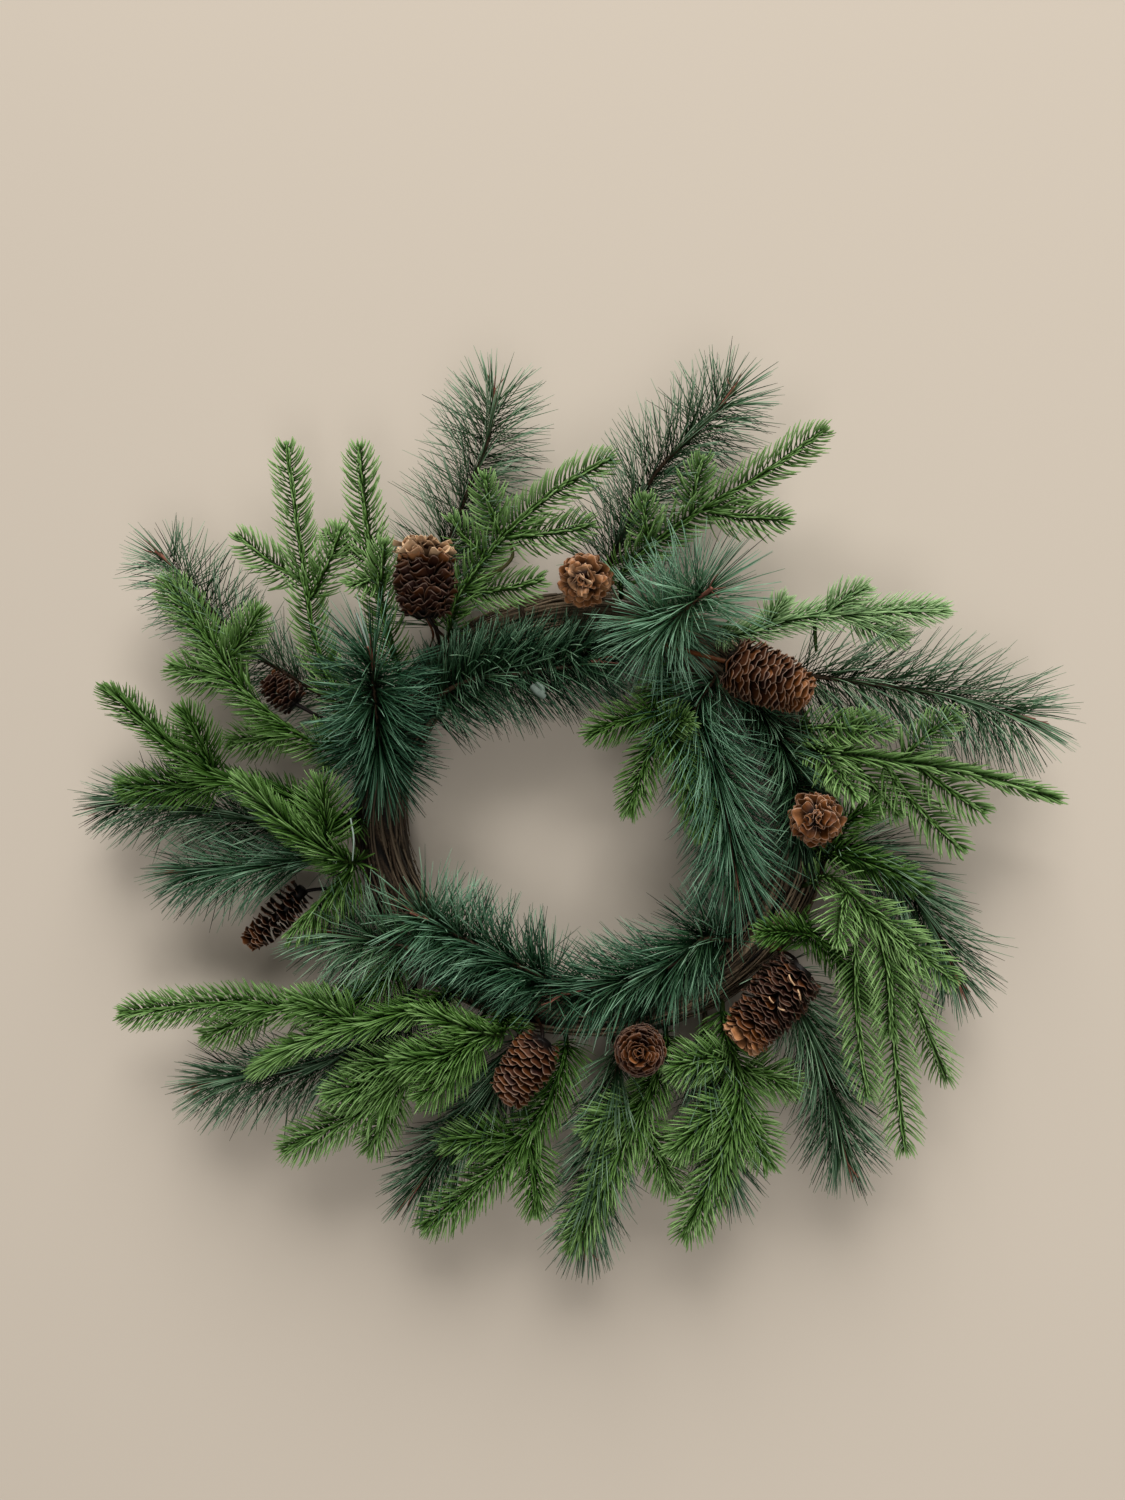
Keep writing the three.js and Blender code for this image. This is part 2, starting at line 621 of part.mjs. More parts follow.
// The stalk runs from inside the cone's base to the face of the ring.
function stalkGeometry(cone) {
  const { from, axis, length } = coneFrame(cone);
  const foot = ringPoint(cone.clock, BUNDLE_RADIUS + STALK_RADIUS + GAP, cone.side);
  const start = from.clone().addScaledVector(axis, 0.12 * length);
  const knee = from.clone().addScaledVector(axis, -0.1 * length).lerp(foot, 0.15);
  const curve = new THREE.QuadraticBezierCurve3(start, knee, foot);
  const shape = new THREE.Shape();
  shape.absarc(0, 0, STALK_RADIUS, 0, 2 * Math.PI, false);
  return new THREE.ExtrudeGeometry(shape, { steps: 3, curveSegments: 5, bevelEnabled: false, extrudePath: curve });
}

function addConeRods(cone) {
  const { from, axis, length } = coneFrame(cone);
  const start = from.clone().addScaledVector(axis, length * 0.3);
  const end = from.clone().addScaledVector(axis, length * 0.68);
  addRod(start, end, cone.radius + 1, cone.radius * 0.85);
  addRod(from, start, cone.radius * 0.75, cone.radius);
  addRod(end, vector(cone.tip), cone.radius * 0.85, cone.radius * 0.45);
  const foot = ringPoint(cone.clock, BUNDLE_RADIUS + STALK_RADIUS + GAP, cone.side);
  addRod(from, foot, STALK_RADIUS + 1);
}

// ---- Assembly ---------------------------------------------------------------------------------

const wreath = new THREE.Group();
wreath.position.set(RING_OFFSET_X, RING_OFFSET_Y, 0);

function addPiece(name, geometry, color, roughness) {
  const material = new THREE.MeshStandardMaterial({ color, roughness, metalness: 0 });
  const mesh = new THREE.Mesh(geometry, material);
  mesh.name = name;
  wreath.add(mesh);
}

addPiece('vine_1', vineGeometry(0, 0, 20), 0x5b4636, 0.9);
for (let i = 0; i < VINES_AROUND; i += 1) {
  const start = (360 * Math.round((VINE_STEPS * (i + 0.5)) / VINES_AROUND)) / VINE_STEPS;
  addPiece(`vine_${i + 2}`, vineGeometry(VINE_SPACING, (360 * i) / VINES_AROUND, start), 0x5b4636, 0.9);
}
BINDING_CLOCKS.forEach((clock, i) => addPiece(`binding_vine_${i + 1}`, bindingGeometry(clock), 0x4a3a2d, 0.9));

for (let clock = 0; clock < 360; clock += 6) addRod(ringPoint(clock), ringPoint(clock + 6), BUNDLE_RADIUS);
for (const clock of BINDING_CLOCKS) addRod(ringPoint(clock - 0.6), ringPoint(clock + 0.6), BINDING_LOOP + BINDING_RADIUS);
for (const cone of Object.values(CONES)) addConeRods(cone);

const sprays = [];
for (const [name, spray] of Object.entries(PINE_SPRAYS)) sprays.push({ name, kind: PINE, spray });
for (const [name, spray] of Object.entries(SPRUCE_SPRAYS)) sprays.push({ name, kind: SPRUCE, spray });
for (const item of sprays) {
  item.curves = sprayCurves(item.spray, item.kind);
  for (const curve of item.curves) addStemRods(curve, item.kind, item.name);
}
for (const item of sprays) addPiece(item.name, sprayGeometry(item), item.kind.color, 0.6);
for (const [name, cone] of Object.entries(CONES)) {
  addPiece(name, joined([coneBody(cone), stalkGeometry(cone)]), 0x6b3a22, 0.75);
}

export default wreath;
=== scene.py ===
# %% [markdown]
# # An evergreen wreath
# The wreath is a ring of twisted grapevine with pine sprays, spruce sprays and real cones tied to
# it. Its size, its ring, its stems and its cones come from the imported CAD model, which is loaded
# first and never moved. This script adds what a step closer shows: bark, thousands of needles,
# and cones built up scale by scale.

# %% Load the frame
import math

import bmesh
import bpy
import numpy as np
from mathutils import Matrix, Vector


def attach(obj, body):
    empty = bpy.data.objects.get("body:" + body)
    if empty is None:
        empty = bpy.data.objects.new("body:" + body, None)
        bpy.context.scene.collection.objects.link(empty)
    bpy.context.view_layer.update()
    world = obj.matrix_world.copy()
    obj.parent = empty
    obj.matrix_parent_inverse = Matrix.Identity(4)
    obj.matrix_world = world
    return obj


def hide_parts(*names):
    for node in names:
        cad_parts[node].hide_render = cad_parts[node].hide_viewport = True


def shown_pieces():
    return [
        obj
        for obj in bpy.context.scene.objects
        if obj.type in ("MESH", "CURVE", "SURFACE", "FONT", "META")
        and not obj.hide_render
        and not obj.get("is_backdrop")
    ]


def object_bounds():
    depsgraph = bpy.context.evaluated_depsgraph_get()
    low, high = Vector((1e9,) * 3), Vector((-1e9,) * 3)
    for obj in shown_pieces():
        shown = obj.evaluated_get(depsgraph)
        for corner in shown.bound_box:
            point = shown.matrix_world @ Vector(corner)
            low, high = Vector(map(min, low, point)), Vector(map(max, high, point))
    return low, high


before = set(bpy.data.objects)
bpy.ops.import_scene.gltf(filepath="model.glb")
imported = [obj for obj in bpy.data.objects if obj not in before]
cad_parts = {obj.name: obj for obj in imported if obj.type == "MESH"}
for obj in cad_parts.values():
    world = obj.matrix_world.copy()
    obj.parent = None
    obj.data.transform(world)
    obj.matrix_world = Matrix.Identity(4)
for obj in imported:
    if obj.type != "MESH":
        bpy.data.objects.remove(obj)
cad_low, cad_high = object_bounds()
cad_size = [round(high - low, 4) for low, high in zip(cad_low, cad_high)]
print("CAD nodes:", len(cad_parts), "size:", cad_size)

# %% [markdown]
# ## Camera
# The photograph was taken nearly square on, from a little to the right and below the middle, with
# a wide lens. The wreath lies on its back here, so the camera looks down on it. A camera can be
# aimed by eye, but a measured one shows each piece where the photograph has it. Its directions are
# worked out from three small angles, and they become the columns of its matrix.

# %% Camera
CAMERA_PLACE = (0.1189, -0.0040, 0.8635)
CAMERA_TURN = math.radians(7.5)
CAMERA_TILT = math.radians(3.0)
CAMERA_ROLL = math.radians(1.0)
LENS = 27.0
SENSOR = 36.0

forward = np.array([
    -math.sin(CAMERA_TURN) * math.cos(CAMERA_TILT),
    math.sin(CAMERA_TILT),
    -math.cos(CAMERA_TURN) * math.cos(CAMERA_TILT),
])
level_right = np.array([math.cos(CAMERA_TURN), 0.0, -math.sin(CAMERA_TURN)])
level_up = np.cross(level_right, forward)
right = level_right * math.cos(CAMERA_ROLL) + level_up * math.sin(CAMERA_ROLL)
up = level_up * math.cos(CAMERA_ROLL) - level_right * math.sin(CAMERA_ROLL)

camera_data = bpy.data.cameras.new("camera")
camera_data.lens = LENS
camera_data.sensor_width = SENSOR
camera = bpy.data.objects.new("camera", camera_data)
bpy.context.scene.collection.objects.link(camera)
turned = Matrix([(right[i], up[i], -forward[i]) for i in range(3)]).to_4x4()
camera.matrix_world = Matrix.Translation(CAMERA_PLACE) @ turned
bpy.context.scene.camera = camera
print("camera", LENS, "mm at", CAMERA_PLACE)

# %% [markdown]
# ## The ring's own measure
# Every piece grows from the ring, so places are given in millimetres from the oval's middle, as in
# the CAD source, and turned into metres only when a mesh is made. A place on the ring is a clock
# angle, and an angle round the bundle of vines: 0 outside, 90 in front, 180 inside.

# %% Places on the ring
RING_MIDDLE = np.array([27.5, -6.0, 0.0])
RING_HALF = np.array([160.0, 146.0])
RING_Z = 21.0
BUNDLE_RADIUS = 18.07
Z_AXIS = np.array([0.0, 0.0, 1.0])


def unit(vectors):
    """The same directions, each one long."""
    return vectors / np.maximum(np.linalg.norm(vectors, axis=-1, keepdims=True), 1e-9)


def ring_point(clock, distance=0.0, side=0.0):
    """The place at a clock angle on the ring, at a distance and an angle round the bundle's middle."""
    a, b = np.radians(clock), np.radians(side)
    zero = np.zeros_like(a * b)
    middle = np.stack([RING_HALF[0] * np.cos(a) + zero, RING_HALF[1] * np.sin(a) + zero, RING_Z + zero], -1)
    outward = unit(np.stack([np.cos(a) / RING_HALF[0] + zero, np.sin(a) / RING_HALF[1] + zero, zero], -1))
    reach = np.asarray(distance + zero)[..., None]
    return middle + reach * (outward * np.cos(b + zero)[..., None] + Z_AXIS * np.sin(b + zero)[..., None])


print("top of the ring:", ring_point(90).round(1))
print("in front of it:", ring_point(90, BUNDLE_RADIUS, 90).round(1))

# %% [markdown]
# ## Smooth lines
# A stem is a curve through a few points. A spline of the centripetal kind passes through all of
# them and doesn't loop at a short step, as a plain one can. It is then cut into even steps.

# %% Curves
PATH_STEP = 2.0
CURVE_STEPS = 24


def read_between(want, along, values):
    """Points or directions given at places along a line, read at other places between them."""
    return np.stack([np.interp(want, along, values[:, i]) for i in range(3)], -1)


def even_path(points, step=PATH_STEP):
    """The same line, cut into steps of one length."""
    along = np.concatenate([[0], np.cumsum(np.linalg.norm(np.diff(points, axis=0), axis=1))])
    count = max(3, int(round(along[-1] / step)) + 1)
    return read_between(np.linspace(0, along[-1], count), along, points)


def smooth_curve(points):
    """A centripetal spline through all the points, and past neither end."""
    points = np.asarray(points, float)
    ends = np.vstack([2 * points[0] - points[1], points, 2 * points[-1] - points[-2]])
    t = np.linspace(0, 1, CURVE_STEPS, endpoint=False)[:, None]
    pieces = []
    for a, b, c, d in zip(ends, ends[1:], ends[2:], ends[3:]):
        ab, bc, cd = (math.sqrt(np.linalg.norm(q - p)) for p, q in ((a, b), (b, c), (c, d)))
        leave = ((b - a) / ab - (c - a) / (ab + bc) + (c - b) / bc) * bc
        arrive = ((c - b) / bc - (d - b) / (bc + cd) + (d - c) / cd) * bc
        pieces.append(
            (2 * t**3 - 3 * t**2 + 1) * b + (t**3 - 2 * t**2 + t) * leave
            + (3 * t**2 - 2 * t**3) * c + (t**3 - t**2) * arrive
        )
    return even_path(np.vstack([*pieces, points[-1:]]))


print("a smooth line has", len(smooth_curve([ring_point(0), ring_point(45), ring_point(90)])), "steps")

# %% Bends, and directions along a line
BEND_STEPS = 40


def bent_curve(start, bend, end, step=PATH_STEP):
    """A curve from start to end that is drawn toward the bend between them."""
    t = np.linspace(0, 1, BEND_STEPS)[:, None]
    return even_path((1 - t) ** 2 * start + 2 * t * (1 - t) * bend + t**2 * end, step)


def path_frames(path):
    """Three directions at each step of a path: along it, up from it and beside it, without a twist."""
    tangents = unit(np.gradient(path, axis=0))
    normal = Z_AXIS if abs(tangents[0][2]) < 0.9 else np.array([0.0, 1.0, 0.0])
    normals = []
    for tangent in tangents:
        normal = unit(normal - tangent * (normal @ tangent))
        normals.append(normal)
    normals = np.array(normals)
    return tangents, normals, np.cross(tangents, normals)


print("a bent line has", len(bent_curve(np.zeros(3), 30 * Z_AXIS, ring_point(0))), "even steps")

# %% [markdown]
# ## One rod, modelled once
# A stem, a vine, a loose strip of bark and a needle are all rods. Each kind is modelled once, by
# hand: a cylinder is added, its long edges are subdivided, and its rings are scaled to a profile.
# The rod is one unit long and one in radius, so a copy can be laid along any line. Bevelled curves
# could carry the stems, but one way for all rods is simpler to follow.

# %% Pick points and take a shape
def select_points(thing, wanted):
    """In edit mode, only the points that are wanted are selected."""
    bpy.ops.mesh.select_all(action="DESELECT")
    shape = bmesh.from_edit_mesh(thing.data)
    for vertex in shape.verts:
        vertex.select_set(wanted(vertex.co))
    shape.select_flush_mode()
    bmesh.update_edit_mesh(thing.data)


def take_shape(thing):
    """The points and triangles of a modelled piece, which then leaves the scene."""
    points = np.array([v.co for v in thing.data.vertices])
    triangles = np.array([p.vertices for p in thing.data.polygons])
    bpy.data.objects.remove(thing)
    return points, triangles


print("helpers made: select_points and take_shape")

# %% Model a rod
def model_rod(sides, cuts=(), profile=()):
    """A cylinder with its long edges cut, and each ring moved and scaled by (height, new height, width)."""
    bpy.ops.object.select_all(action="DESELECT")
    bpy.ops.mesh.primitive_cylinder_add(vertices=sides, radius=1, depth=1, location=(0, 0, 0.5))
    bpy.ops.object.transform_apply(location=True)
    rod = bpy.context.object
    bpy.ops.object.mode_set(mode="EDIT")
    shape = bmesh.from_edit_mesh(rod.data)
    for cut in cuts:
        for edge in shape.edges:
            a, b = edge.verts
            edge.select_set(abs(a.co.z - b.co.z) > 1e-6)
        bmesh.update_edit_mesh(rod.data)
        bpy.ops.mesh.subdivide(number_cuts=cut)
        shape = bmesh.from_edit_mesh(rod.data)
    for height, place, width in profile:
        select_points(rod, lambda point: abs(point.z - height) < 1e-4)
        bpy.ops.transform.resize(value=(width, width, 1), center_override=(0, 0, height))
        bpy.ops.transform.translate(value=(0, 0, place - height))
    bpy.ops.mesh.select_all(action="SELECT")
    bpy.ops.mesh.quads_convert_to_tris()
    bpy.ops.object.mode_set(mode="OBJECT")
    return take_shape(rod)


PINE_PROFILE = [(1, 1, 0.4), (2 / 3, 0.72, 1.0), (1 / 3, 0.36, 1.0), (0, 0, 0.8)]
SPRUCE_PROFILE = [(1, 1, 0.3), (3 / 4, 0.8, 0.85), (1 / 2, 0.5, 1.0), (0, 0, 0.8)]
PINE_NEEDLE = model_rod(3, cuts=(2,), profile=PINE_PROFILE)
SPRUCE_NEEDLE = model_rod(4, cuts=(3,), profile=SPRUCE_PROFILE)
STEM = model_rod(6, cuts=(23,))
STRIP = model_rod(4, cuts=(11,))
VINE = model_rod(14, cuts=(15, 15))
print("triangles in a pine needle", len(PINE_NEEDLE[1]), "and a spruce needle", len(SPRUCE_NEEDLE[1]))

# %% [markdown]
# ## Laying copies
# Hair could stand for the needles, but hair isn't a solid mesh, and thousands of objects would be
# slow. So the copies in one spray are joined in one mesh as they are made: the points of the rod
# are moved to each line with numpy. Each copy carries numbers for its material: its tone, how far
# along the needle a point lies, and whether it is bark.

# %% Lay copies of a rod
def copied_faces(triangles, points, count):
    """The triangles of a shape, repeated for each copy of its points."""
    return (triangles[None] + (np.arange(count) * len(points))[:, None, None]).reshape(-1, 3)


def lay_needles(shape, foot, bend, tip, radius, flat, facing):
    """Copies of a needle, each along its own bent line from foot to tip."""
    points, triangles = shape
    t = points[:, 2][None, :, None]
    start, middle, end = foot[:, None], bend[:, None], tip[:, None]
    centre = (1 - t) ** 2 * start + 2 * t * (1 - t) * middle + t**2 * end
    tangent = unit(2 * (1 - t) * (middle - start) + 2 * t * (end - middle))
    across = unit(np.cross(end - start, facing[:, None]))
    over = np.cross(tangent, across)
    width = radius[:, None, None]
    x, y = points[:, 0][None, :, None], points[:, 1][None, :, None]
    spots = centre + across * x * width + over * y * width * flat
    faces = copied_faces(triangles, points, len(foot))
    return spots.reshape(-1, 3), faces, np.tile(points[:, 2], len(foot))


def lay_rod(shape, path, radius, rough=None):
    """One rod along a path, as thick as the radii say, with an optional roughness of its surface."""
    points, triangles = shape
    x, y, share = points.T
    at, steps = share * (len(path) - 1), np.arange(len(path))
    _, normals, binormals = path_frames(path)
    reach = np.interp(share, np.linspace(0, 1, len(radius)), radius)
    if rough is not None:
        reach = reach + rough(np.arctan2(y, x), share) * np.hypot(x, y)
    spots = read_between(at, steps, path) + read_between(at, steps, normals) * (x * reach)[:, None]
    spots = spots + read_between(at, steps, binormals) * (y * reach)[:, None]
    return spots, triangles, share


print("each pine needle that is laid adds", len(PINE_NEEDLE[0]), "points")

# %% [markdown]
# A pile gathers the copies of one spray, vine or cone and makes one mesh of them. No point goes
# under the floor. The finished piece rides on the wreath's one body, has a slot for its material,
# and takes the place of its CAD node.

# %% Join the copies in one mesh
MM = 0.001
LOWEST = 0.2


class Pile:
    """Copies that will be one mesh, with the numbers that its material reads."""

    def __init__(self):
        self.points, self.faces, self.numbers, self.size = [], [], {}, 0

    def add(self, laid, **numbers):
        points, faces, along = laid
        self.points.append(points)
        self.faces.append(faces + self.size)
        self.size += len(points)
        for name, value in {"along": along, **numbers}.items():
            self.numbers.setdefault(name, []).append(np.broadcast_to(value, len(points)).astype(np.float32))

    def piece(self, name, material, slot, *nodes):
        points = np.vstack(self.points)
        points[:, 2] = np.maximum(points[:, 2], LOWEST)
        mesh = bpy.data.meshes.new(name)
        mesh.from_pydata((points + RING_MIDDLE) * MM, [], np.vstack(self.faces))
        mesh.shade_smooth()
        for title, values in self.numbers.items():
            mesh.attributes.new(title, "FLOAT", "POINT").data.foreach_set("value", np.concatenate(values))
        mesh.materials.append(material)
        thing = bpy.data.objects.new(name, mesh)
        bpy.context.scene.collection.objects.link(thing)
        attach(thing, "root")
        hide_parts(*nodes)


print("no point lies lower than", LOWEST, "mm")

# %% [markdown]
# ## Materials
# A picture of bark or needles would blur or repeat this close, so all colours are procedural.
# Numbers on the mesh pick a place on a colour ramp, and a little noise in Object coordinates breaks
# up what would look printed.

# %% Material helpers
def new_material(name, roughness, specular=0.5):
    material = bpy.data.materials.new(name)
    material.use_nodes = True
    shader = material.node_tree.nodes["Principled BSDF"]
    shader.inputs["Roughness"].default_value = roughness
    shader.inputs["Specular IOR Level"].default_value = specular
    return material, shader


def add_node(material, kind, values=(), **settings):
    node = material.node_tree.nodes.new(kind)
    for name, value in settings.items():
        setattr(node, name, value)
    for name, value in dict(values).items():
        node.inputs[name].default_value = value
    return node


def feed(material, value, socket):
    """A socket takes a number, a colour, or what another node gives."""
    if isinstance(value, float):
        socket.default_value = value
    elif isinstance(value, tuple):
        socket.default_value = (*value, 1)
    else:
        material.node_tree.links.new(value, socket)


def number(material, name):
    """A number that the mesh carries for each point."""
    return add_node(material, "ShaderNodeAttribute", attribute_name=name).outputs["Fac"]


print("helpers made: new_material, add_node, feed and number")

# %% Colours, noise and bumps
def colour_ramp(material, factor, stops):
    """A colour by a number from 0 to 1, with stops of (place, colour)."""
    ramp = add_node(material, "ShaderNodeValToRGB")
    elements = ramp.color_ramp.elements
    while len(elements) < len(stops):
        elements.new(0.5)
    for element, (place, colour) in zip(elements, stops):
        element.position = place
        element.color = (*colour, 1)
    feed(material, factor, ramp.inputs["Fac"])
    return ramp.outputs["Color"]


def blend(material, factor, first, second, kind="MIX"):
    mixer = add_node(material, "ShaderNodeMix", data_type="RGBA", blend_type=kind)
    for name, value in {"Factor": factor, "A": first, "B": second}.items():
        feed(material, value, mixer.inputs[name])
    return mixer.outputs["Result"]


def noise(material, scale, detail=2.0, vector=None):
    speckle = add_node(material, "ShaderNodeTexNoise", {"Scale": scale, "Detail": detail})
    if vector is None:
        vector = add_node(material, "ShaderNodeTexCoord").outputs["Object"]
    feed(material, vector, speckle.inputs["Vector"])
    return speckle.outputs["Fac"]


def bump(material, shader, height, strength, distance):
    bumper = add_node(material, "ShaderNodeBump", {"Strength": strength, "Distance": distance})
    feed(material, height, bumper.inputs["Height"])
    feed(material, bumper.outputs["Normal"], shader.inputs["Normal"])


def combine(material, first, second, operation="MULTIPLY"):
    maths = add_node(material, "ShaderNodeMath", operation=operation)
    for socket, value in zip(maths.inputs, (first, second)):
        feed(material, value, socket)
    return maths.outputs["Value"]


print("helpers made: colour_ramp, blend, noise, bump and combine")

# %% [markdown]
# The needles are matt film and moulded plastic. One green for all would look painted, so each
# needle's tone picks a place between a dark and a pale green, and each spray leans to one of two
# families of green. Painted shade makes a needle darker at its foot, where little light gets in.
# The same material also colours the stem, which is marked as bark, and the slips of clear film.

# %% Needle materials
# Painted shade: this ramp darkens each needle toward its foot, where little light gets in.
NEEDLE_FOOT_SHADE = [(0.0, (0.06, 0.11, 0.05)), (0.35, (0.38, 0.48, 0.34)), (0.8, (1.0, 1.0, 1.0))]
CLEAR_FILM = (0.30, 0.38, 0.33)
NEEDLE_ROUGHNESS, NEEDLE_SHINE = 0.5, 0.07
TIP_BLEND = 0.25


def needle_material(name, plain, other, tip, bark):
    """Green by tone, from one family of greens to the other by hue, with painted shade that darkens it deep
    inside the spray.

    A needle's end is paler, but less so on a dark needle.
    """
    material, shader = new_material(name, NEEDLE_ROUGHNESS, NEEDLE_SHINE)
    tone, along = number(material, "tone"), number(material, "along")
    first, second = colour_ramp(material, tone, plain), colour_ramp(material, tone, other)
    green = blend(material, number(material, "hue"), first, second)
    tip_share = combine(material, combine(material, tone, 0.5), TIP_BLEND, "MINIMUM")
    green = blend(material, combine(material, along, tip_share), green, tip)
    # Painted shade: the green is multiplied darker toward the needle's foot.
    green = blend(material, 1.0, green, colour_ramp(material, along, NEEDLE_FOOT_SHADE), "MULTIPLY")
    brown = colour_ramp(material, tone, bark)
    colour = blend(material, number(material, "bark"), green, brown)
    colour = blend(material, number(material, "film"), colour, CLEAR_FILM)
    feed(material, colour, shader.inputs["Base Color"])
    return material


pine_material = needle_material(
    "pine_needles",
    [(0.0, (0.002, 0.012, 0.004)), (0.5, (0.044, 0.100, 0.046)), (1.0, (0.270, 0.370, 0.240))],
    [(0.0, (0.001, 0.016, 0.007)), (0.5, (0.032, 0.132, 0.074)), (1.0, (0.220, 0.430, 0.300))],
    (0.20, 0.29, 0.19),
    [(0.0, (0.008, 0.012, 0.005)), (1.0, (0.26, 0.105, 0.075))],
)
spruce_material = needle_material(
    "spruce_needles",
    [(0.0, (0.002, 0.024, 0.001)), (0.5, (0.046, 0.118, 0.009)), (1.0, (0.235, 0.375, 0.140))],
    [(0.0, (0.020, 0.085, 0.020)), (0.5, (0.135, 0.280, 0.110)), (1.0, (0.380, 0.540, 0.270))],
    (0.19, 0.33, 0.13),
    [(0.0, (0.006, 0.024, 0.003)), (1.0, (0.09, 0.055, 0.025))],
)
print("needle materials:", pine_material.name, spruce_material.name)

# %% [markdown]
# ## Where stems grow
# These are the CAD stems again: for each spray a clock angle and an angle round the bundle for its
# root, the points of its stem, and its side twigs, each as the share of the stem where it forks
# and the place of its tip.

# %% Stems of the pine sprays
PINE_SPRAYS = {
    "pine_spray_01": (158, 15, [(-215, 92, 36), (-269, 126, 46), (-294, 154, 48), (-336, 196, 44)]),
    "pine_spray_02": (130, 20, [(-119, 156, 38), (-93, 231, 50), (-78, 269, 50), (-71, 315, 46)]),
    "pine_spray_03": (88, 20, [(18, 186, 46), (49, 247, 52), (81, 279, 54), (106, 309, 50)]),
    "pine_spray_04": (76, 70, [(59, 133, 74), (76, 143, 92), (91, 151, 106)]),
    "pine_spray_05": (38, 30, [(155, 101, 44), (196, 95, 50), (257, 85, 52), (313, 69, 48)]),
    "pine_spray_06": (352, 15, [(184, -20, 42), (217, -37, 46), (248, -78, 46), (264, -114, 42)]),
    "pine_spray_07": (318, 20, [(139, -113, 42), (160, -144, 46), (177, -191, 48), (188, -240, 42)]),
    "pine_spray_08": (300, 10, [(90, -168, 38), (98, -210, 44), (106, -262, 42)]),
    "pine_spray_09": (277, 15, [(28, -177, 44), (19, -227, 48), (13, -262, 48), (5, -306, 44)]),
    "pine_spray_10": (255, 15, [(-48, -174, 42), (-65, -207, 46), (-94, -244, 46), (-120, -279, 42)]),
    "pine_spray_11": (226, 10, [(-134, -152, 42), (-179, -187, 46), (-239, -200, 48), (-284, -209, 44)]),
    "pine_spray_12": (194, 35, [(-189, -39, 50), (-227, -44, 56), (-266, -48, 54), (-308, -51, 48)]),
    "pine_spray_13": (184, 5, [(-219, -16, 34), (-274, -7, 38), (-340, 3, 38), (-372, 0, 36)]),
    "pine_spray_14": (168, 95, [(-148, 50, 72), (-144, 83, 98), (-142, 111, 112)]),
    "pine_spray_15": (148, 115, [(-96, 91, 54), (-77, 97, 58), (-40, 101, 58), (13, 110, 54)]),
    "pine_spray_16": (50, 120, [(80, 71, 54), (93, 39, 56), (104, -7, 56), (111, -48, 52)]),
    "pine_spray_17": (318, 120, [(86, -89, 54), (72, -103, 56), (44, -116, 57), (-12, -130, 54)]),
    "pine_spray_18": (262, 115, [(-25, -121, 54), (-58, -106, 56), (-87, -92, 58), (-124, -75, 54)]),
    "pine_spray_19": (230, 70, [(-111, -107, 52), (-133, -100, 56), (-174, -94, 56), (-199, -88, 54)]),
}
print("pine stems:", len(PINE_SPRAYS))

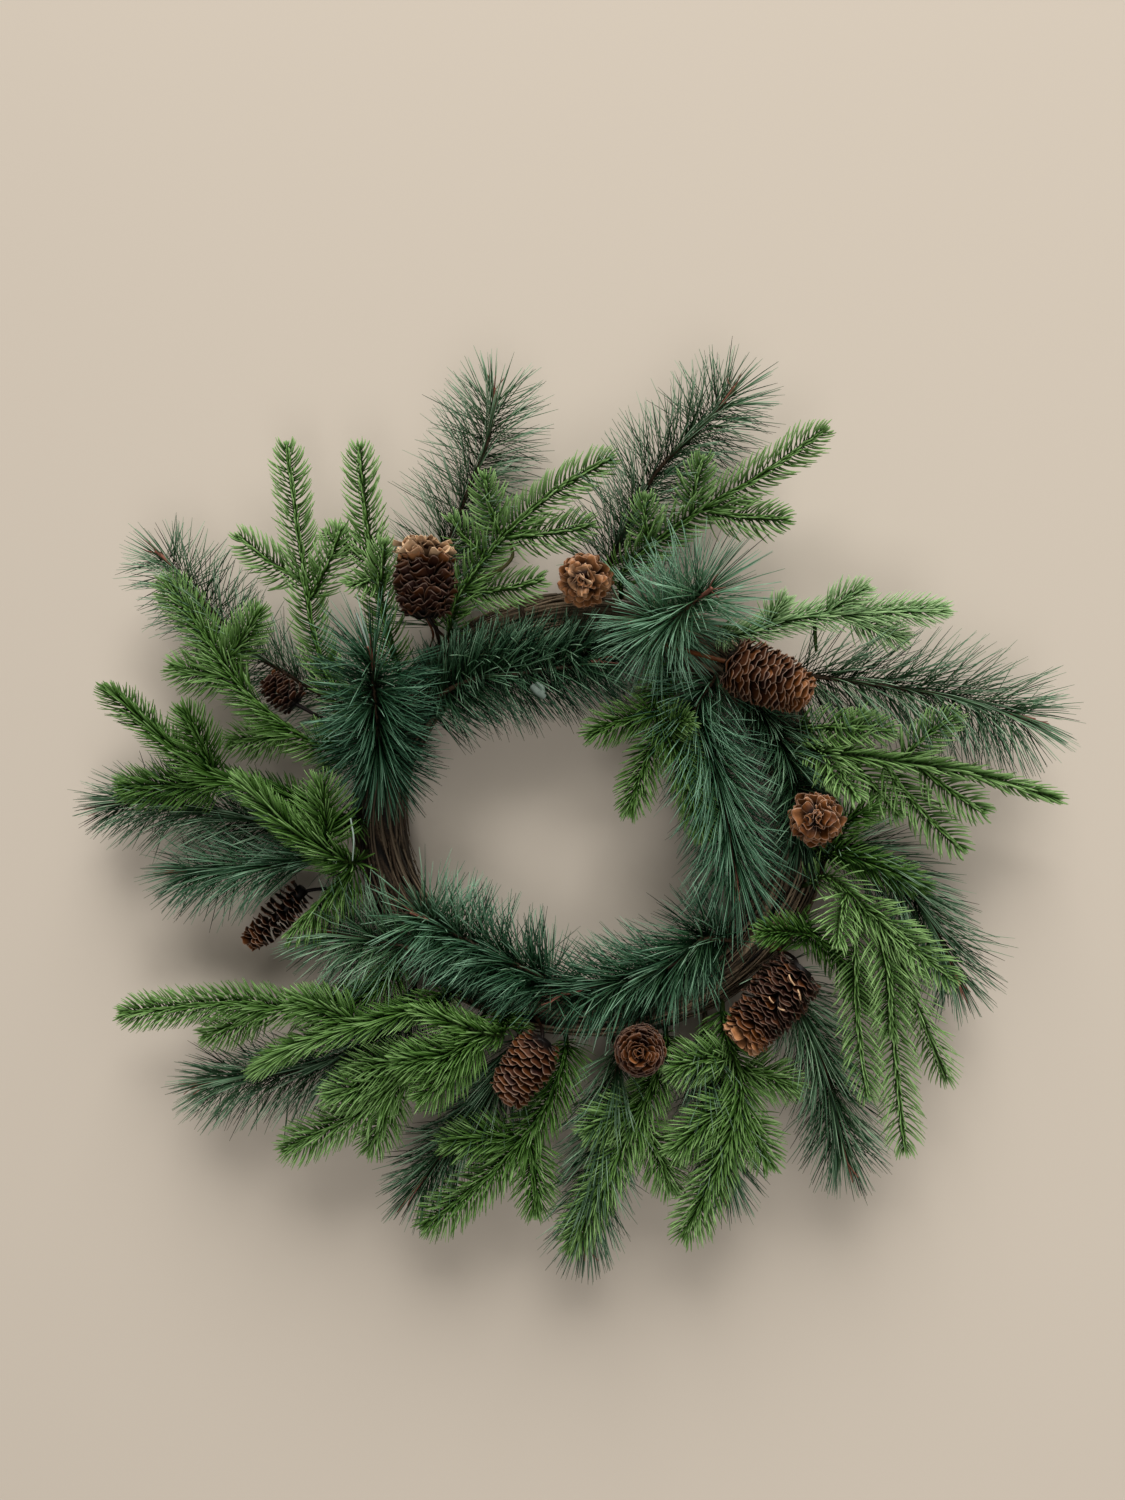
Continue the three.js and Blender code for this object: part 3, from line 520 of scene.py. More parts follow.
# %% Stems of the spruce sprays
SPRUCE_SPRAYS = {
    "spruce_spray_01": (
        152, 40, [(-179, 80, 56), (-199, 117, 62), (-214, 192, 64), (-229, 273, 60)],
        [(0.55, -264, 204, 60), (0.48, -182, 206, 68)],
    ),
    "spruce_spray_02": (
        144, 50, [(-143, 117, 60), (-156, 176, 66), (-167, 236, 64), (-172, 270, 60)],
        [(0.55, -197, 208, 56), (0.4, -145, 192, 80), (0.46, -169, 162, 84)],
    ),
    "spruce_spray_03": (
        166, 50, [(-195, 46, 66), (-247, 84, 78), (-288, 135, 74), (-319, 170, 66)],
        [(0.29, -266, 49, 58), (0.56, -308, 103, 72), (0.62, -237, 143, 84)],
    ),
    "spruce_spray_04": (
        180, 45, [(-179, -12, 58), (-219, 9, 66), (-276, 23, 70), (-362, 86, 66)],
        [(0.54, -293, 70, 82), (0.5, -348, 13, 66)],
    ),
    "spruce_spray_05": (
        192, 70, [(-165, -39, 78), (-200, -20, 88), (-245, 17, 84)],
        [(0.43, -182, 18, 96), (0.22, -210, -90, 72)],
    ),
    "spruce_spray_06": (
        128, 50, [(-95, 154, 60), (-62, 196, 68), (-26, 229, 68), (17, 257, 62)],
        [(0.51, 4, 209, 60), (0.5, -71, 239, 82), (0.4, -96, 210, 76), (0.24, -33, 169, 58)],
    ),
    "spruce_spray_07": (
        82, 40, [(29, 175, 62), (79, 213, 70), (124, 240, 68), (168, 273, 62)],
        [(0.5, 142, 211, 60), (0.46, 84, 247, 84), (0.28, 44, 221, 82)],
    ),
    "spruce_spray_08": (
        58, 40, [(111, 128, 60), (146, 138, 64), (180, 141, 66), (252, 145, 60)],
        [(0.53, 196, 158, 74), (0.3, 142, 150, 76), (0.62, 225, 125, 60)],
    ),
    "spruce_spray_09": (
        16, 40, [(171, 45, 60), (221, 38, 66), (261, 33, 64), (326, 15, 58)],
        [
            (0.42, 256, 70, 72), (0.48, 277, 5, 62), (0.36, 264, -21, 56),
            (0.22, 197, 70, 72), (0.18, 190, 14, 78),
        ],
    ),
    "spruce_spray_10": (348, 55, [(178, -25, 60), (195, -30, 64), (239, -47, 60)], []),
    "spruce_spray_11": (
        341, 70, [(174, -42, 66), (207, -73, 72), (230, -123, 70), (252, -176, 62)],
        [(0.42, 254, -108, 76), (0.5, 226, -226, 58), (0.3, 200, -189, 66), (0.25, 177, -84, 92)],
    ),
    "spruce_spray_12": (
        331, 60, [(158, -78, 56), (184, -102, 58), (202, -130, 54)],
        [(0.34, 125, -80, 80)],
    ),
    "spruce_spray_13": (
        305, 25, [(103, -150, 45), (115, -190, 62), (104, -231, 66), (77, -293, 58)],
        [(0.45, 134, -241, 58), (0.42, 70, -233, 70), (0.3, 152, -187, 60), (0.26, 66, -178, 66)],
    ),
    "spruce_spray_14": (
        290, 20, [(62, -165, 43), (52, -194, 56), (28, -243, 62), (-3, -306, 58)],
        [(0.42, 67, -263, 56), (0.36, 8, -225, 64)],
    ),
    "spruce_spray_15": (
        266, 25, [(-10, -172, 46), (-20, -205, 58), (-54, -251, 62), (-108, -299, 56)],
        [(0.48, -92, -236, 68), (0.45, -29, -284, 56)],
    ),
    "spruce_spray_16": (
        246, 35, [(-85, -169, 58), (-120, -188, 66), (-152, -215, 68), (-213, -250, 60)],
        [(0.47, -150, -246, 60), (0.45, -176, -205, 78)],
    ),
    "spruce_spray_17": (
        238, 55, [(-105, -140, 70), (-136, -149, 78), (-198, -170, 78), (-233, -190, 72)],
        [(0.5, -201, -137, 86)],
    ),
    "spruce_spray_18": (
        220, 30, [(-150, -133, 54), (-205, -148, 60), (-250, -145, 62), (-344, -157, 58)],
        [(0.5, -278, -170, 60)],
    ),
    "spruce_spray_19": (
        250, 70, [(-53, -157, 76), (-80, -150, 86), (-109, -141, 86)],
        [(0.55, -105, -200, 92)],
    ),
    "spruce_spray_20": (
        62, 130, [(52, 78, 58), (70, 42, 64), (88, -15, 60)],
        [(0.45, 35, 1, 60), (0.38, 6, 55, 66), (0.45, 77, 65, 84)],
    ),
}
print("spruce stems:", len(SPRUCE_SPRAYS))

# %% [markdown]
# The cones: base and tip of the axis, greatest radius, and the clock angle and the angle round the
# bundle where the stalk ends. Their looks follow, in this order: how many scales there are; how far
# they lean from the axis, and at the tip; how slim the base is and how far the body runs before it
# is cut off blunt; how pale the scales are, those at the tip, and their lips; how ragged, how wide
# and how wavy they are; and how many scales crowd the end, and their greatest lean.

# %% Cones
CONES = {
    "cone_1": ((-115, 138, 71), (-115, 195, 77), 21.0, 126, 75),
    "cone_2": ((-1, 169, 46), (2, 165, 88), 19.0, 92, 65),
    "cone_3": ((101, 108, 72), (160, 83, 74), 21.0, 46, 95),
    "cone_4": ((166, -3, 48), (162, 0, 92), 19.0, 1, 85),
    "cone_5": ((157, -102, 71), (112, -156, 73), 20.0, 323, 60),
    "cone_6": ((45, -166, 58), (46, -160, 102), 19.0, 284, 50),
    "cone_7": ((-21, -158, 75), (-49, -202, 77), 18.5, 258, 70),
    "cone_8": ((-214, -61, 34), (-256, -106, 36), 13.0, 203, 5),
    "cone_9": ((-216, 76, 56), (-240, 96, 58), 12.5, 162, 30),
}
LOOK_NAMES = (
    "scales", "lean", "tip_lean", "base", "blunt", "pale", "tip_pale",
    "lip", "fray", "wide", "ruffle", "nub", "nub_lean",
)
CONE_LOOKS = {
    "cone_1": (170, 48, 66, 0.08, 0.76, 0.02, 2.00, 0.12, 1.1, 1.30, 1.3, 30, 95),
    "cone_2": (74, 58, 34, 0.18, 0.93, 0.62, 0.74, 0.34, 1.7, 0.95, 1.3, 16, 85),
    "cone_3": (170, 44, 26, 0.18, 0.88, 0.13, 0.50, 0.20, 0.3, 1.45, 0.4, 12, 55),
    "cone_4": (90, 60, 48, 0.18, 0.93, 0.47, 0.46, 0.55, 1.5, 0.92, 1.3, 10, 60),
    "cone_5": (270, 58, 50, 0.18, 0.86, 0.00, 0.75, 0.12, 0.5, 1.30, 0.5, 18, 85),
    "cone_6": (170, 42, 18, 0.18, 0.95, 0.06, 0.30, 0.22, 0.2, 1.25, 0.2, 6, 18),
    "cone_7": (120, 52, 32, 0.14, 0.88, 0.12, 0.20, 0.22, 0.2, 1.25, 0.3, 5, 30),
    "cone_8": (80, 76, 56, 0.14, 0.90, 0.09, 0.26, 0.34, 0.6, 1.05, 0.5, 7, 60),
    "cone_9": (84, 64, 40, 0.18, 0.90, 0.03, 0.12, 0.16, 0.6, 1.10, 0.4, 4, 40),
}
CONE_SLIM = {"cone_2": 0.97, "cone_3": 0.95, "cone_4": 0.92, "cone_6": 0.9, "cone_7": 0.93}
print("cones to build:", len(CONES))

# %% [markdown]
# ## Room for each other
# A needle that would end inside the ring, a cone or the floor is moved out to its surface. The
# ring counts as a thick oval tube and a cone as a capsule, which is near enough for thin needles.

# %% Move points out of the ring and the cones
RING_CLEAR = 18.5
CONE_CLEAR = 0.6
FLOOR_CLEAR = 0.8


def out_of_capsule(points, start, end, radius):
    axis = end - start
    share = np.clip(((points - start) @ axis) / (axis @ axis), 0, 1)[:, None]
    away = points - (start + share * axis)
    distance = np.linalg.norm(away, axis=1, keepdims=True)
    return np.where(distance < radius, start + share * axis + unit(away) * radius, points)


def out_of_everything(points):
    clock = np.degrees(np.arctan2(points[:, 1] / RING_HALF[1], points[:, 0] / RING_HALF[0]))
    middle = ring_point(clock)
    away = points - middle
    distance = np.linalg.norm(away, axis=1, keepdims=True)
    points = np.where(distance < RING_CLEAR, middle + unit(away) * RING_CLEAR, points)
    for base, tip, radius, _, _ in CONES.values():
        base, tip = np.array(base, float), np.array(tip, float)
        axis = unit(tip - base)
        start, end = base + axis * radius * 0.7, tip - axis * radius * 0.8
        points = out_of_capsule(points, start, end, radius + CONE_CLEAR)
    points[:, 2] = np.maximum(points[:, 2], FLOOR_CLEAR)
    return points


buried = ring_point(90, 10.0, 90.0)
print("a point at", buried.round(1), "moves to", out_of_everything(buried[None])[0].round(1))

# %% [markdown]
# Whoever made the wreath bent the needles aside until each cone was seen. Needles that would stand
# between a cone and the viewer's place, which is a fixed point, are left out here.

# %% Keep the cones in sight
EYE = np.array(CAMERA_PLACE) / MM - RING_MIDDLE


def hides_cone(points):
    """Which points lie between the viewer's place and a cone."""
    hiding = np.zeros(len(points), bool)
    for base, tip, radius, _, _ in CONES.values():
        base, tip = np.array(base, float), np.array(tip, float)
        height = (base[2] + tip[2]) / 2
        seen = EYE + (points - EYE) * ((EYE[2] - height) / (EYE[2] - points[:, 2]))[:, None]
        axis = (tip - base)[:2]
        share = np.clip(((seen[:, :2] - base[:2]) @ axis) / (axis @ axis), 0, 1)
        beside = np.linalg.norm(seen[:, :2] - base[:2] - share[:, None] * axis, axis=1)
        hiding |= (beside < radius) & (points[:, 2] > height)
    return hiding


print("the viewer's place:", EYE.round(1))

# %% [markdown]
# The dressed wreath may pass the CAD model's box only by a little, so a needle that reaches out too
# far is drawn back toward its foot.

# %% Keep needles in the CAD model's box
BOX_SPARE = 0.024
SHORTEST = 0.2


def shorten_to_box(foot, bend, tip):
    """The bend and tip of each needle, drawn back where the tip passes the box and its spare."""
    low, high = np.array(cad_low) / MM - RING_MIDDLE, np.array(cad_high) / MM - RING_MIDDLE
    spare = (high - low) * BOX_SPARE
    low, high = low - spare, high + spare
    run = tip - foot
    level = np.abs(run) < 1e-6
    room = np.where(run > 0, high - foot, low - foot) / np.where(level, 1e-6, run)
    share = np.clip(np.min(np.where(level, 1.0, room), axis=1), SHORTEST, 1.0)[:, None]
    return foot + (bend - foot) * share, foot + run * share


print("spare outside the box:", BOX_SPARE, "of each side")

# %% [markdown]
# ## Sprays
# Needles grow from a stem in one of two ways. Pine needles stand in little bundles, the golden
# angle from one bundle to the next, and lean toward the tip, where they end in a brush. They are
# soft, so as the wreath hangs they droop a little toward its bottom. Spruce needles are stiff and
# stand in rows like a comb: each starts wide and curves forward.

# %% Lines of a spray
GAP = 0.35
TWIG_SWEEP = 0.12


def spray_lines(clock, side, stem, twigs, root):
    """The line of a stem, from the ring's surface to its tip, and of each side twig."""
    start = ring_point(clock, BUNDLE_RADIUS + root + GAP, side)
    main = smooth_curve([start, *stem])
    lines = [main]
    for share, *tip in twigs:
        at = int(round(share * (len(main) - 1)))
        fork, end = main[at], np.array(tip, float)
        tangent = unit(main[at + 1] - main[at - 1])
        bend = (fork + end) / 2 - tangent * TWIG_SWEEP * np.linalg.norm(end - fork)
        lines.append(bent_curve(fork, bend, end))
    return lines


print("a side twig sweeps back by", TWIG_SWEEP, "of its length")

# %% [markdown]
# A needle needs its place on the line, an angle round it, a lean from it and a length. It starts at
# the stem's skin, curves, droops a little, and keeps clear of the ring, the cones and the box.

# %% Grow needles on a line
NEEDLE_WIDTHS = (0.85, 1.15)


def grow(pile, line, along, angle, lean, reach, look, tone, rng):
    """One needle at each distance along the line, at an angle round it and a lean from it.

    Painted light and shade: needles that stand up to the light are painted paler than those that hang behind
    the stem.
    """
    steps = np.arange(len(line)) * PATH_STEP
    tangent, normal, binormal = (read_between(along, steps, values) for values in path_frames(line))
    tangent, foot = unit(tangent), read_between(along, steps, line)
    angle = np.radians(angle)[:, None]
    out = normal * np.cos(angle) + binormal * np.sin(angle)
    first, last = (np.radians(lean + curve)[:, None] for curve in (look["curve"], -look["curve"]))
    half = reach[:, None] / 2
    foot = foot + out * look["foot"]
    droop = np.array([0.0, -look["droop"], 0.0])
    bend = foot + unit(tangent * np.cos(first) + out * np.sin(first) + droop * 0.5) * half
    tip = bend + unit(tangent * np.cos(last) + out * np.sin(last) + droop * 1.5) * half
    bend, tip = shorten_to_box(foot, out_of_everything(bend), out_of_everything(tip))
    width = look["radius"] * rng.uniform(*NEEDLE_WIDTHS, len(along))
    # Painted light and shade: a needle's tone rises as it points up and falls as it points down.
    tone = tone + look["lit"] * unit(tip - foot)[:, 2]
    clear = ~(hides_cone(tip) | hides_cone((bend + tip) / 2) | hides_cone((foot + 2 * bend + tip) / 4))
    kept = [values[clear] for values in (foot, bend, tip, width)]
    laid = lay_needles(look["shape"], *kept, look["flat"], tangent[clear])
    tone = np.repeat(np.clip(tone[clear], 0, 1), len(look["shape"][0]))
    pile.add(laid, tone=tone, hue=look["hue"], bark=0.0, film=0.0)
    return int(clear.sum())


def add_wood(pile, shape, line, radius, tone, film=0.0):
    """A stem or a twig in a spray. Film above 0 makes it clear film or glue instead."""
    pile.add(lay_rod(shape, line, np.array(radius)), tone=tone, hue=0.0, bark=1.0 - film, film=film)


print("needle widths vary from", NEEDLE_WIDTHS[0], "to", NEEDLE_WIDTHS[1])

# %% [markdown]
# A few small things are seen that no rule makes: bare twigs, slips of clear film, and a blob of
# clear glue. Each is a short rod through listed points, with its width, its tone, and how
# clear it is.

# %% Small things in the sprays
SMALL_THINGS = {
    "spruce_spray_05": [([(-159, -7, 97), (-156, -21, 98), (-158, -37, 93)], 0.6, 0.0, 0.8)],
    "spruce_spray_06": [
        ([(-54, 193, 67), (-52, 184, 70), (-57, 177, 70), (-68, 171, 69), (-78, 169, 66)], 1.3, 0.35, 0.0),
    ],
    "spruce_spray_08": [([(163, 140, 64), (163, 127, 67), (164, 115, 66)], 1.3, 0.1, 0.0)],
    "pine_spray_14": [
        ([(-144, 111, 114), (-148, 122, 113), (-155, 136, 109)], 0.7, 0.0, 0.6),
        ([(-143, 110, 114), (-145, 121, 114), (-150, 132, 111)], 0.5, 0.0, 0.5),
    ],
    "pine_spray_15": [
        ([(-36, 90, 66), (-32, 86, 68), (-27, 82, 66)], 2.6, 0.0, 0.55),
        ([(-33, 92, 66), (-29, 89, 68), (-28, 84, 67)], 1.8, 0.0, 0.6),
    ],
}


def add_small_things(pile, name):
    for points, width, tone, film in SMALL_THINGS.get(name, []):
        add_wood(pile, STEM, smooth_curve(points), [width, 1.1 * width, 0.8 * width], tone, film)


print("small things:", sum(len(things) for things in SMALL_THINGS.values()))

# %% [markdown]
# Pine needles are fine, long and soft, and every bundle points its own way. One look holds for all
# pine sprays, and each spray changes only what differs on it: how its needles lean at the root, along
# the stem and at the end, how many there are, and how pale or blue they are. A fan above 0 turns
# the needles from the front and back of the stem to its sides.

# %% Looks of the pine sprays
PINE = {
    "shape": PINE_NEEDLE, "needle": 50.0, "radius": 0.36, "flat": 0.9, "bundles": 1.2, "in_bundle": 4,
    "lean": 45.0, "root_lean": 0.0, "end_lean": 0.0, "brush": 26.0, "curve": 2.0, "spread": 8.0, "fan": 0.0,
    "foot": 1.0, "droop": 0.14, "bare": 12.0, "tip_short": 0.25,
    "hue": 0.3, "shade": 0.45, "lit": 0.21, "painted_end_highlight": 0.0,
}
PINE_LOOKS = {
    "pine_spray_01": {"shade": 0.5, "lean": 58.0, "bundles": 1.0, "spread": 11.0},
    "pine_spray_02": {"shade": 0.56, "lean": 60.0, "needle": 55.0, "spread": 10.0, "bundles": 1.1},
    "pine_spray_03": {"lean": 58.0, "needle": 54.0, "spread": 10.0},
    "pine_spray_04": {
        "lean": 82.0, "brush": 30.0, "bundles": 2.3, "spread": 14.0, "needle": 56.0,
        "hue": 0.8, "shade": 0.72, "tip_short": 0.0,
    },
    "pine_spray_05": {"shade": 0.46, "lean": 60.0, "needle": 56.0, "droop": 0.2},
    "pine_spray_07": {"shade": 0.4},
    "pine_spray_10": {"shade": 0.34},
    "pine_spray_11": {"shade": 0.34},
    "pine_spray_12": {"hue": 0.6, "shade": 0.45, "droop": 0.22, "spread": 13.0},
    "pine_spray_13": {"shade": 0.38},
    "pine_spray_14": {
        "lean": 78.0, "root_lean": 30.0, "bundles": 2.6, "spread": 13.0, "droop": 0.16, "hue": 0.9,
        "shade": 0.28, "needle": 52.0, "brush": 34.0, "bare": 4.0, "tip_short": -0.05,
    },
    "pine_spray_15": {
        "hue": 0.5, "bundles": 1.5, "shade": 0.2, "droop": 0.16, "bare": 6.0, "spread": 7.0, "lean": 56.0,
        "fan": 0.8, "brush": 18.0, "tip_short": -0.1,
    },
    "pine_spray_16": {
        "lean": 58.0, "bundles": 1.8, "spread": 12.0, "droop": 0.25, "needle": 56.0,
        "hue": 0.85, "shade": 0.55, "bare": 4.0, "tip_short": -0.1,
    },
    "pine_spray_17": {
        "hue": 0.7, "bundles": 1.7, "lean": 60.0, "bare": 4.0, "spread": 10.0, "shade": 0.27, "fan": 0.55,
    },
    # Spray 18 has a painted highlight on the needles toward its end.
    "pine_spray_18": {
        "lean": 60.0, "end_lean": 44.0, "brush": 12.0, "bundles": 1.8, "spread": 10.0, "fan": 0.4,
        "hue": 0.75, "shade": 0.24, "painted_end_highlight": 0.55, "bare": 4.0, "tip_short": -0.1, "radius": 0.38,
    },
    "pine_spray_19": {
        "lean": 60.0, "bundles": 1.5, "spread": 17.0, "needle": 54.0, "radius": 0.4,
        "hue": 0.4, "shade": 0.55, "bare": 36.0,
    },
}
print("pine looks:", len(PINE_LOOKS) + 1)

# %% [markdown]
# Where the photo shows a denser mass, a shorter and darker row of needles grows on a line behind the
# spray's own stem.

# %% Lower rows of needles
# The dark tone of these rows is painted shade, for needles that lie deep under a spray.
UNDERSTEM = {
    "needle": 34.0, "bundles": 1.5, "lean": 62.0, "root_lean": 0.0, "end_lean": 0.0, "spread": 16.0,
    "droop": 0.35, "bare": 2.0, "hue": 0.4, "shade": 0.24, "painted_end_highlight": 0.0,
}
PINE_UNDERSTEMS = {
    "pine_spray_14": [[(-150, 30, 44), (-152, 62, 58), (-150, 92, 70)]],
    "pine_spray_17": [[(96, -84, 46), (66, -106, 48), (22, -124, 48)]],
    "pine_spray_18": [[(-18, -126, 46), (-60, -114, 48), (-98, -98, 48), (-126, -76, 46)]],
    "pine_spray_15": [[(-118, 92, 44), (-94, 106, 52), (-56, 116, 56), (-8, 118, 56), (28, 114, 52)]],
    "pine_spray_16": [[(114, 92, 46), (138, 56, 56), (152, 18, 58), (158, -24, 54)]],
}
print("lower rows:", len(PINE_UNDERSTEMS), "for", len(PINE_SPRAYS), "pine sprays")

# %% Needles of a pine spray
PINE_STICK = 6.0
BUNDLE_LEAN, BUNDLE_ANGLE, BUNDLE_TONE = 8.0, 14.0, 0.12
NEEDLE_PLACE, NEEDLE_TONE = 0.9, 0.28
PINE_LENGTHS = (0.78, 1.04)
FAN_TURN = 28.6
GOLDEN_ANGLE = 137.508


def pine_needles(pile, line, look, rng):
    length = PATH_STEP * (len(line) - 1) - PINE_STICK
    count = int((length - look["bare"]) * look["bundles"])
    share = (np.arange(count) + rng.uniform(0.2, 0.8, count)) / count
    along = look["bare"] + (length - look["bare"]) * share
    to_tip = np.clip((along - length + look["brush"]) / look["brush"], 0, 1)
    lean = look["lean"] + look["root_lean"] * (1 - share) ** 2 + look["end_lean"] * share**3
    lean = (lean + rng.normal(0, BUNDLE_LEAN, count)) * (1 - to_tip * rng.uniform(0.1, 0.8, count))
    angle = np.arange(count) * GOLDEN_ANGLE + rng.normal(0, BUNDLE_ANGLE, count)
    angle = angle + look["fan"] * FAN_TURN * np.sin(np.radians(2 * angle))
    each = look["in_bundle"]
    total = count * each
    along = np.repeat(along, each) + rng.normal(0, NEEDLE_PLACE, total)
    lean = np.clip(np.repeat(lean, each) + look["spread"] * rng.normal(0, 1, total), 4, 120)
    angle = np.repeat(angle, each) + look["spread"] * rng.normal(0, 1.5, total)
    reach = look["needle"] * rng.uniform(*PINE_LENGTHS, total)
    reach = reach * (1 - look["tip_short"] * np.repeat(to_tip, each))
    # Painted highlight: where a spray has one, the tone rises toward its end, and each bundle also gets a
    # random tone.
    tone = look["shade"] + np.repeat(look["painted_end_highlight"] * share**3 + rng.normal(0, BUNDLE_TONE, count), each)
    tone = tone + rng.normal(0, NEEDLE_TONE, total)
    return grow(pile, line, along, angle, lean, reach, look, tone, rng)


print("needle lengths vary from", PINE_LENGTHS[0], "to", PINE_LENGTHS[1], "of the spray's own")

# %% [markdown]
# A pine stem ends in a bare reddish stick, with a few fine twigs. The last steps of the stem's line
# are lifted a little, and a rough strip is laid along them.

# %% Bare ends of the pine stems
STICK_STEPS = 9
STICK_RISE = 7.0
STICK_WIDTHS, TIP_TWIG_WIDTHS = [1.5, 1.7, 1.5, 1.2], [0.55, 0.45, 0.3]
STICK_TONE, TIP_TWIG_TONE = 0.9, 0.7
TIP_TWIGS = 3


def add_tip_stick(pile, line, rng):
    """The bare brown end of a pine stem, turned up a little, with a few fine twigs."""
    rise = np.linspace(0, 1, STICK_STEPS)[:, None] ** 2 * STICK_RISE * Z_AXIS
    stick = line[-STICK_STEPS:] + rise
    add_wood(pile, STRIP, stick, STICK_WIDTHS, STICK_TONE)
    tangent = unit(stick[-1] - stick[-4])
    for _ in range(TIP_TWIGS):
        end = stick[-2] + unit(tangent + rng.normal(0, 0.35, 3)) * rng.uniform(10, 20)
        bend = (stick[-2] + end) / 2 + rng.normal(0, 1.2, 3)
        twig = out_of_everything(bent_curve(stick[-2], bend, end, 1.0))
        add_wood(pile, STRIP, twig, TIP_TWIG_WIDTHS, TIP_TWIG_TONE)


print("each bare end is", (STICK_STEPS - 1) * PATH_STEP, "mm long, with", TIP_TWIGS, "twigs")

# %% Build the pine sprays
PINE_ROOT, PINE_END = 1.9, 1.4
STEM_TONE = 0.1


def pine_spray(index, name, clock, side, stem):
    rng = np.random.default_rng(100 + index)
    look = {**PINE, **PINE_LOOKS.get(name, {})}
    pile = Pile()
    line = spray_lines(clock, side, stem, [], PINE_ROOT)[0]
    made = pine_needles(pile, line, look, rng)
    for points in PINE_UNDERSTEMS.get(name, []):
        made += pine_needles(pile, smooth_curve(points), {**look, **UNDERSTEM}, rng)
    add_wood(pile, STEM, line, [PINE_ROOT, PINE_END], STEM_TONE)
    add_tip_stick(pile, line, rng)
    add_small_things(pile, name)
    pile.piece("full_" + name, pine_material, "pine_needles", name)
    return made


pine_count = sum(pine_spray(i, name, *spray) for i, (name, spray) in enumerate(PINE_SPRAYS.items()))
print("pine needles:", pine_count)

# %% [markdown]
# Spruce sprays are of two sorts. On a comb spray two rows of needles stand to each side, with gaps
# between the needles. A full spray has more rows. On both, short dark needles cover the stem. Each
# row is an angle round the stem and the share of the full needle length.

# %% Looks of the spruce sprays
COMB_ROWS = ((62, 1.0), (102, 1.0), (-62, 1.0), (-102, 1.0), (10, 0.45), (-22, 0.4), (168, 0.5))
FULL_ROWS = (
    (34, 0.75), (64, 0.97), (90, 1.0), (116, 0.9), (-34, 0.75), (-64, 0.97), (-90, 1.0), (-116, 0.9),
    (4, 0.42), (-12, 0.48), (172, 0.6),
)
SPRUCE = {
    "shape": SPRUCE_NEEDLE, "needle": 26.0, "radius": 0.54, "flat": 0.95, "rows": FULL_ROWS, "pitch": 3.0,
    "lean": 50.0, "curve": 9.0, "foot": 0.9, "droop": 0.0, "loose": 4.0, "bare": 10.0,
    "hue": 0.0, "shade": 0.52, "lit": 0.1,
}
COMB = {
    "rows": COMB_ROWS, "shade": 0.74, "curve": 16.0, "lean": 46.0, "needle": 23.0, "radius": 0.66,
    "pitch": 3.5, "loose": 5.0,
}
SPRUCE_LOOKS = {
    "spruce_spray_01": COMB,
    "spruce_spray_02": COMB,
    "spruce_spray_03": {"shade": 0.62, "needle": 25.0},
    "spruce_spray_04": {"shade": 0.37},
    "spruce_spray_05": {"needle": 31.0, "radius": 0.58, "lean": 54.0, "bare": 30.0, "shade": 0.51},
    "spruce_spray_06": COMB,
    "spruce_spray_07": COMB,
    "spruce_spray_08": {"needle": 21.0, "radius": 0.5, "pitch": 3.0, "lean": 43.0, "hue": 1.0, "shade": 0.93},
    "spruce_spray_09": {**COMB, "curve": 12.0, "needle": 22.0, "shade": 0.76},
    "spruce_spray_10": {"shade": 0.4, "needle": 22.0},
    "spruce_spray_11": {**COMB, "curve": 12.0, "radius": 0.52, "pitch": 3.6, "shade": 0.86},
    "spruce_spray_12": {"shade": 0.34, "needle": 20.0},
    "spruce_spray_13": {"shade": 0.66},
    "spruce_spray_14": {"shade": 0.66},
    "spruce_spray_16": {"shade": 0.64},
    "spruce_spray_17": {"shade": 0.58},
    "spruce_spray_18": {"needle": 23.0, "shade": 0.6},
    "spruce_spray_20": {"needle": 23.0},
}
print("spruce looks:", len(SPRUCE_LOOKS) + 1)

# %% [markdown]
# Five spruce sprays have short side twigs in front of or beside their stems, which fill them out.
# Each is a line through given points, and grows needles as any other twig does.

# %% Short spruce twigs
SHORT_TWIGS = {
    "spruce_spray_11": [
        [(192, -60, 70), (212, -72, 78), (236, -96, 76)],
        [(206, -76, 72), (212, -110, 76), (214, -146, 68)],
    ],
    "spruce_spray_16": [[(-102, -178, 62), (-128, -180, 72), (-162, -186, 74)]],
    "spruce_spray_19": [[(-62, -156, 80), (-84, -168, 92), (-122, -176, 90)]],
    "spruce_spray_09": [
        [(150, 62, 50), (176, 62, 68), (214, 60, 70)],
        [(160, 50, 50), (170, 42, 66), (178, 18, 70)],
        [(186, 43, 62), (198, 28, 62), (222, 2, 58)],
    ],
    "spruce_spray_10": [[(176, -20, 52), (186, -2, 62), (206, 8, 62)]],
}
print("short twigs:", sum(len(twigs) for twigs in SHORT_TWIGS.values()))

# %% [markdown]
# Needles get shorter and lie closer to the twig toward its tip, where a bud of very short ones ends
# it. Painted shade keeps the tone low at the root of the spray, which other foliage shades, and it
# rises to the spray's tips. Short needles on top of the twig lean more and are darker.

# %% Needles of a spruce twig
SPRUCE_BRUSH, SPRUCE_TAPER = 24.0, 0.12
SPRUCE_LENGTHS, SPRUCE_TONE = (0.88, 1.06), 0.14
SHORT_LEAN, SHORT_TONE, TIP_LEAN = 26, 0.35, 18
BUD_NEEDLES, BUD_LEANS, BUD_LENGTHS = 6, (4, 24), (0.15, 0.32)
PAINTED_ROOT_SHADE = 0.32


